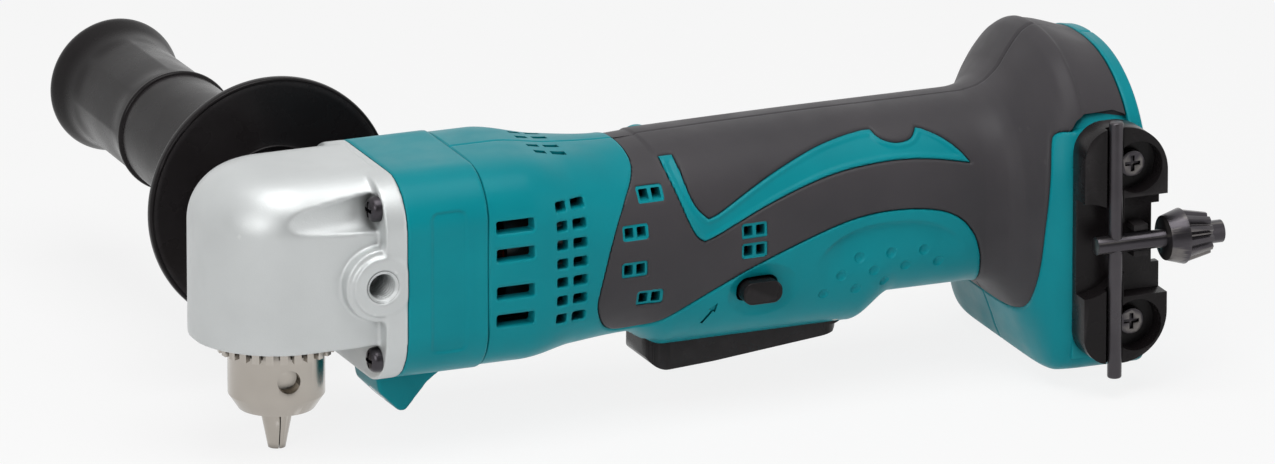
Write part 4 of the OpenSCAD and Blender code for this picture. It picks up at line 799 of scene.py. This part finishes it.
SIDE_HANDLE_AT = (19, 0, 49)
housing = cast_piece("gear_housing", 0.48, 8, "gear_housing_cast")
for side in (-1, 1):
    bore = [(0, 30), (4.9, 30), (4.9, 28), (4.05, 27.2), (4.05, 15.3), (0, 15.3)]
    carve(housing, turned("side_handle_bore", [(r, h * side) for r, h in bore], 64, "Y", SIDE_HANDLE_AT))
smooth(housing, 50)
hand_over(housing, "gear_housing")
bracket = cast_piece("motor_bracket", 0.46, 5, "motor_bracket_moulded")

# %% Round the lamp nose and sink the panel
NOSE_TOP, NOSE_FADE, LENS_KEPT = 19, 3, 5
PANEL, PANEL_DEPTH, PANEL_EDGE = pill(37.65, 47.8, 10.1, 38.4, 2.2), 0.5, 0.5
BRACKET_SIDE = 24
places = points(bracket)
lens = np.mean(points(frame["nodes"]["lamp_lens"]), axis=0)
nose = np.clip((NOSE_TOP - places[:, 2]) / NOSE_FADE, 0, 1)
nose = nose * (np.linalg.norm(places - lens, axis=1) > LENS_KEPT)
soft = bracket.vertex_groups.new(name="nose")
for n in np.flatnonzero(nose):
    soft.add([int(n)], float(nose[n]), "REPLACE")
apply(bracket, "SMOOTH", factor=0.5, iterations=8, vertex_group="nose")
places = points(bracket)
sunk = PANEL_DEPTH * inside(places, PANEL) * eased(away(places, PANEL) / PANEL_EDGE)
sunk = sunk * (np.abs(places[:, 1]) > BRACKET_SIDE)
set_points(bracket, places - np.outer(sunk * np.sign(places[:, 1]), (0, 1, 0)))
hand_over(bracket, "motor_bracket")

# %% [markdown]
# ## Threads and screws
# The side handle screws into an M8 hole on either side of the housing, and four long screws with domed
# heads hold the housing to the motor. A thread could be a texture, but it shows in the open hole, so
# its ridge is turned: the radius runs up and down once a turn.

# %% Turn the threads
PITCH, RIDGE, ROW = 1.25, 0.28, 0.13


def threaded(r, h, turn):
    return r + RIDGE * np.cos(2 * math.pi * h / PITCH - turn) * (3.5 < r < 4), h


rows = [(3.7, h) for h in np.arange(17.8, 29, ROW)]
STUD = [(0, 17), (2.8, 17), (3.4, 17.6), *rows, (3.5, 29.2), (3.5, 45), (0, 45)]
stud = turned("side_handle_stud_turned", STUD, 48, "Y", SIDE_HANDLE_AT, threaded)
smooth(stud, 50)
hand_over(stud, "side_handle_stud")
LINER = [(4.3, -27.6), *((3.74, h) for h in np.arange(-27.2, -15.6, ROW)), (4.4, -15.4)]
liner = turned("near_thread", LINER, 48, "Y", SIDE_HANDLE_AT, threaded, tube=True)
smooth(liner, 50)
hand_over(liner, body=BODY_OF["gear_housing"], slot="cast_alloy")

# %% Turn the housing screws
HEAD = flow([(0, 17.02), (1.4, 17.05), (2.6, 17.4), (3.36, 18.4), *sharp(3.38, 20)], 2, closed=False)
screw_end = points(frame["nodes"]["housing_screws"])[:, 0].max() - 0.1
SCREW = [*HEAD, (1.9, 20.01), (1.9, screw_end), (0, screw_end)]
screws = []
for y in (-21.5, 21.5):
    for z in (27.6, 68.4):
        screw = turned("housing_screw", SCREW, 48, "X", (0, y, z))
        for wide, tall in ((2.2, 0.5), (0.5, 2.2)):
            carve(screw, block("cross", (16.5, y - wide, z - tall), (18.6, y + wide, z + tall)))
        screws.append(screw)
heads = join(screws)
heads.name = "housing_screws_turned"
smooth(heads, 40)
hand_over(heads, "housing_screws")

# %% [markdown]
# ## Side handle
# The side handle is a moulded grip with a wide guard disc. Its outline is turned: a hub, two thin rings
# on the disc's front, a ring round the grip and a flared end. Between that ring and the end the grip
# has eight shallow flats, so the radius there changes with the angle.

# %% Turn the side handle
def grip_shape(r, h, turn):
    flats = eased((h - 123) / 5) * eased((157 - h) / 5)
    corner = math.cos(math.pi / 8) / np.cos(turn % (math.pi / 4) - math.pi / 8)
    return r * (1 - 0.4 * flats * (1 - corner)), h


OUTLINE = flow([(0, 28.3), *sharp(10.4, 28.3), (11, 29), *sharp(11, 49.2), (12.8, 49.4), (13, 48.9),
                (13.5, 48.9), (13.7, 49.5), (15.5, 49.6), (15.7, 49.1), (16.2, 49.1), (16.4, 49.7),
                (24, 50.6), *sharp(32.8, 51.6), (33.2, 51.3), (33.7, 51.4), (34, 52), (34, 53.6),
                (33.2, 54.4), (26, 55), (18.6, 55.6), (16.6, 56.4), (15.8, 58.6), (15.7, 90),
                *sharp(15.7, 119.2), (16.4, 119.5), (16.6, 120.2), (16.4, 120.9), *sharp(15.7, 121.2),
                (15.6, 128), (15.5, 138), (15.4, 150), (15.5, 156), (16.1, 160), (17.4, 163),
                (18.2, 165.2), (18.1, 166.8), (17, 168.2), (14.5, 169.2), (8, 170),
                (0, 170.4)], 2, closed=False)
side_grip = turned("side_handle_moulded", OUTLINE, 192, "Y", SIDE_HANDLE_AT, grip_shape)
smooth(side_grip, 40)
hand_over(side_grip, "side_handle_grip")

# %% [markdown]
# ## Turned, pressed and moulded small pieces
# The chuck, its jaws, the key, the screws, the paddle and the holder have true planes and cylinders
# already. They only lack the small bevel that catches the light, so a Bevel modifier with an angle
# limit finishes them.

# %% Bevel the small pieces
BEVELS = {"chuck_body": (0.3, 2), "chuck_sleeve": (0.15, 2), "chuck_jaw_1": (0.12, 2),
          "chuck_jaw_2": (0.12, 2), "chuck_jaw_3": (0.12, 2), "bearing_retainer": (0.3, 2),
          "handle_screws": (0.2, 2), "key_holder_screws": (0.2, 2), "lamp_lens": (0.3, 2),
          "reversing_lever": (0.9, 3), "key_holder": (0.6, 3), "chuck_key": (0.15, 2),
          "chuck_key_bar": (0.5, 3), "terminal_block": (0.4, 2)}
for node, (width, segments) in BEVELS.items():
    piece = copy_of(node, node + "_finished")
    apply(piece, "BEVEL", width=width * MM, segments=segments, limit_method="ANGLE",
          angle_limit=math.radians(30), use_clamp_overlap=True)
    smooth(piece, 35)
    hand_over(piece, node)

# %% Round the paddle's front
paddle = copy_of("paddle", "paddle_moulded")
low, high = points(paddle).min(axis=0), points(paddle).max(axis=0)
PADDLE_R = 5
nose_x, nose_z = low[0] + PADDLE_R, low[2] + 5.6
turns = np.linspace(math.pi, 1.53 * math.pi, 16)
FRONT = [(nose_x + PADDLE_R * math.cos(turn), nose_z + PADDLE_R * math.sin(turn)) for turn in turns]
FRONT += [(high[0] + 1, low[2] + 4), (high[0] + 1, high[2] + 1), (low[0], high[2] + 1)]
carve(paddle, prism("paddle_front", FRONT, -40, 40), "INTERSECT")
apply(paddle, "BEVEL", width=1.2 * MM, segments=4, limit_method="ANGLE", angle_limit=math.radians(35))
smooth(paddle, 35)
hand_over(paddle, "paddle")

# %% [markdown]
# ## Pieces inside
# Bearings, gears, motor and leads show only through the vents. Their solids stay as they are and get
# their finishes.

# %% Finish the rest of the nodes
for name, node in frame["nodes"].items():
    node.data.materials.clear()
    node.data.materials.append(FINISH[SLOT_OF[name]])
print("finished nodes", len(frame["nodes"]))
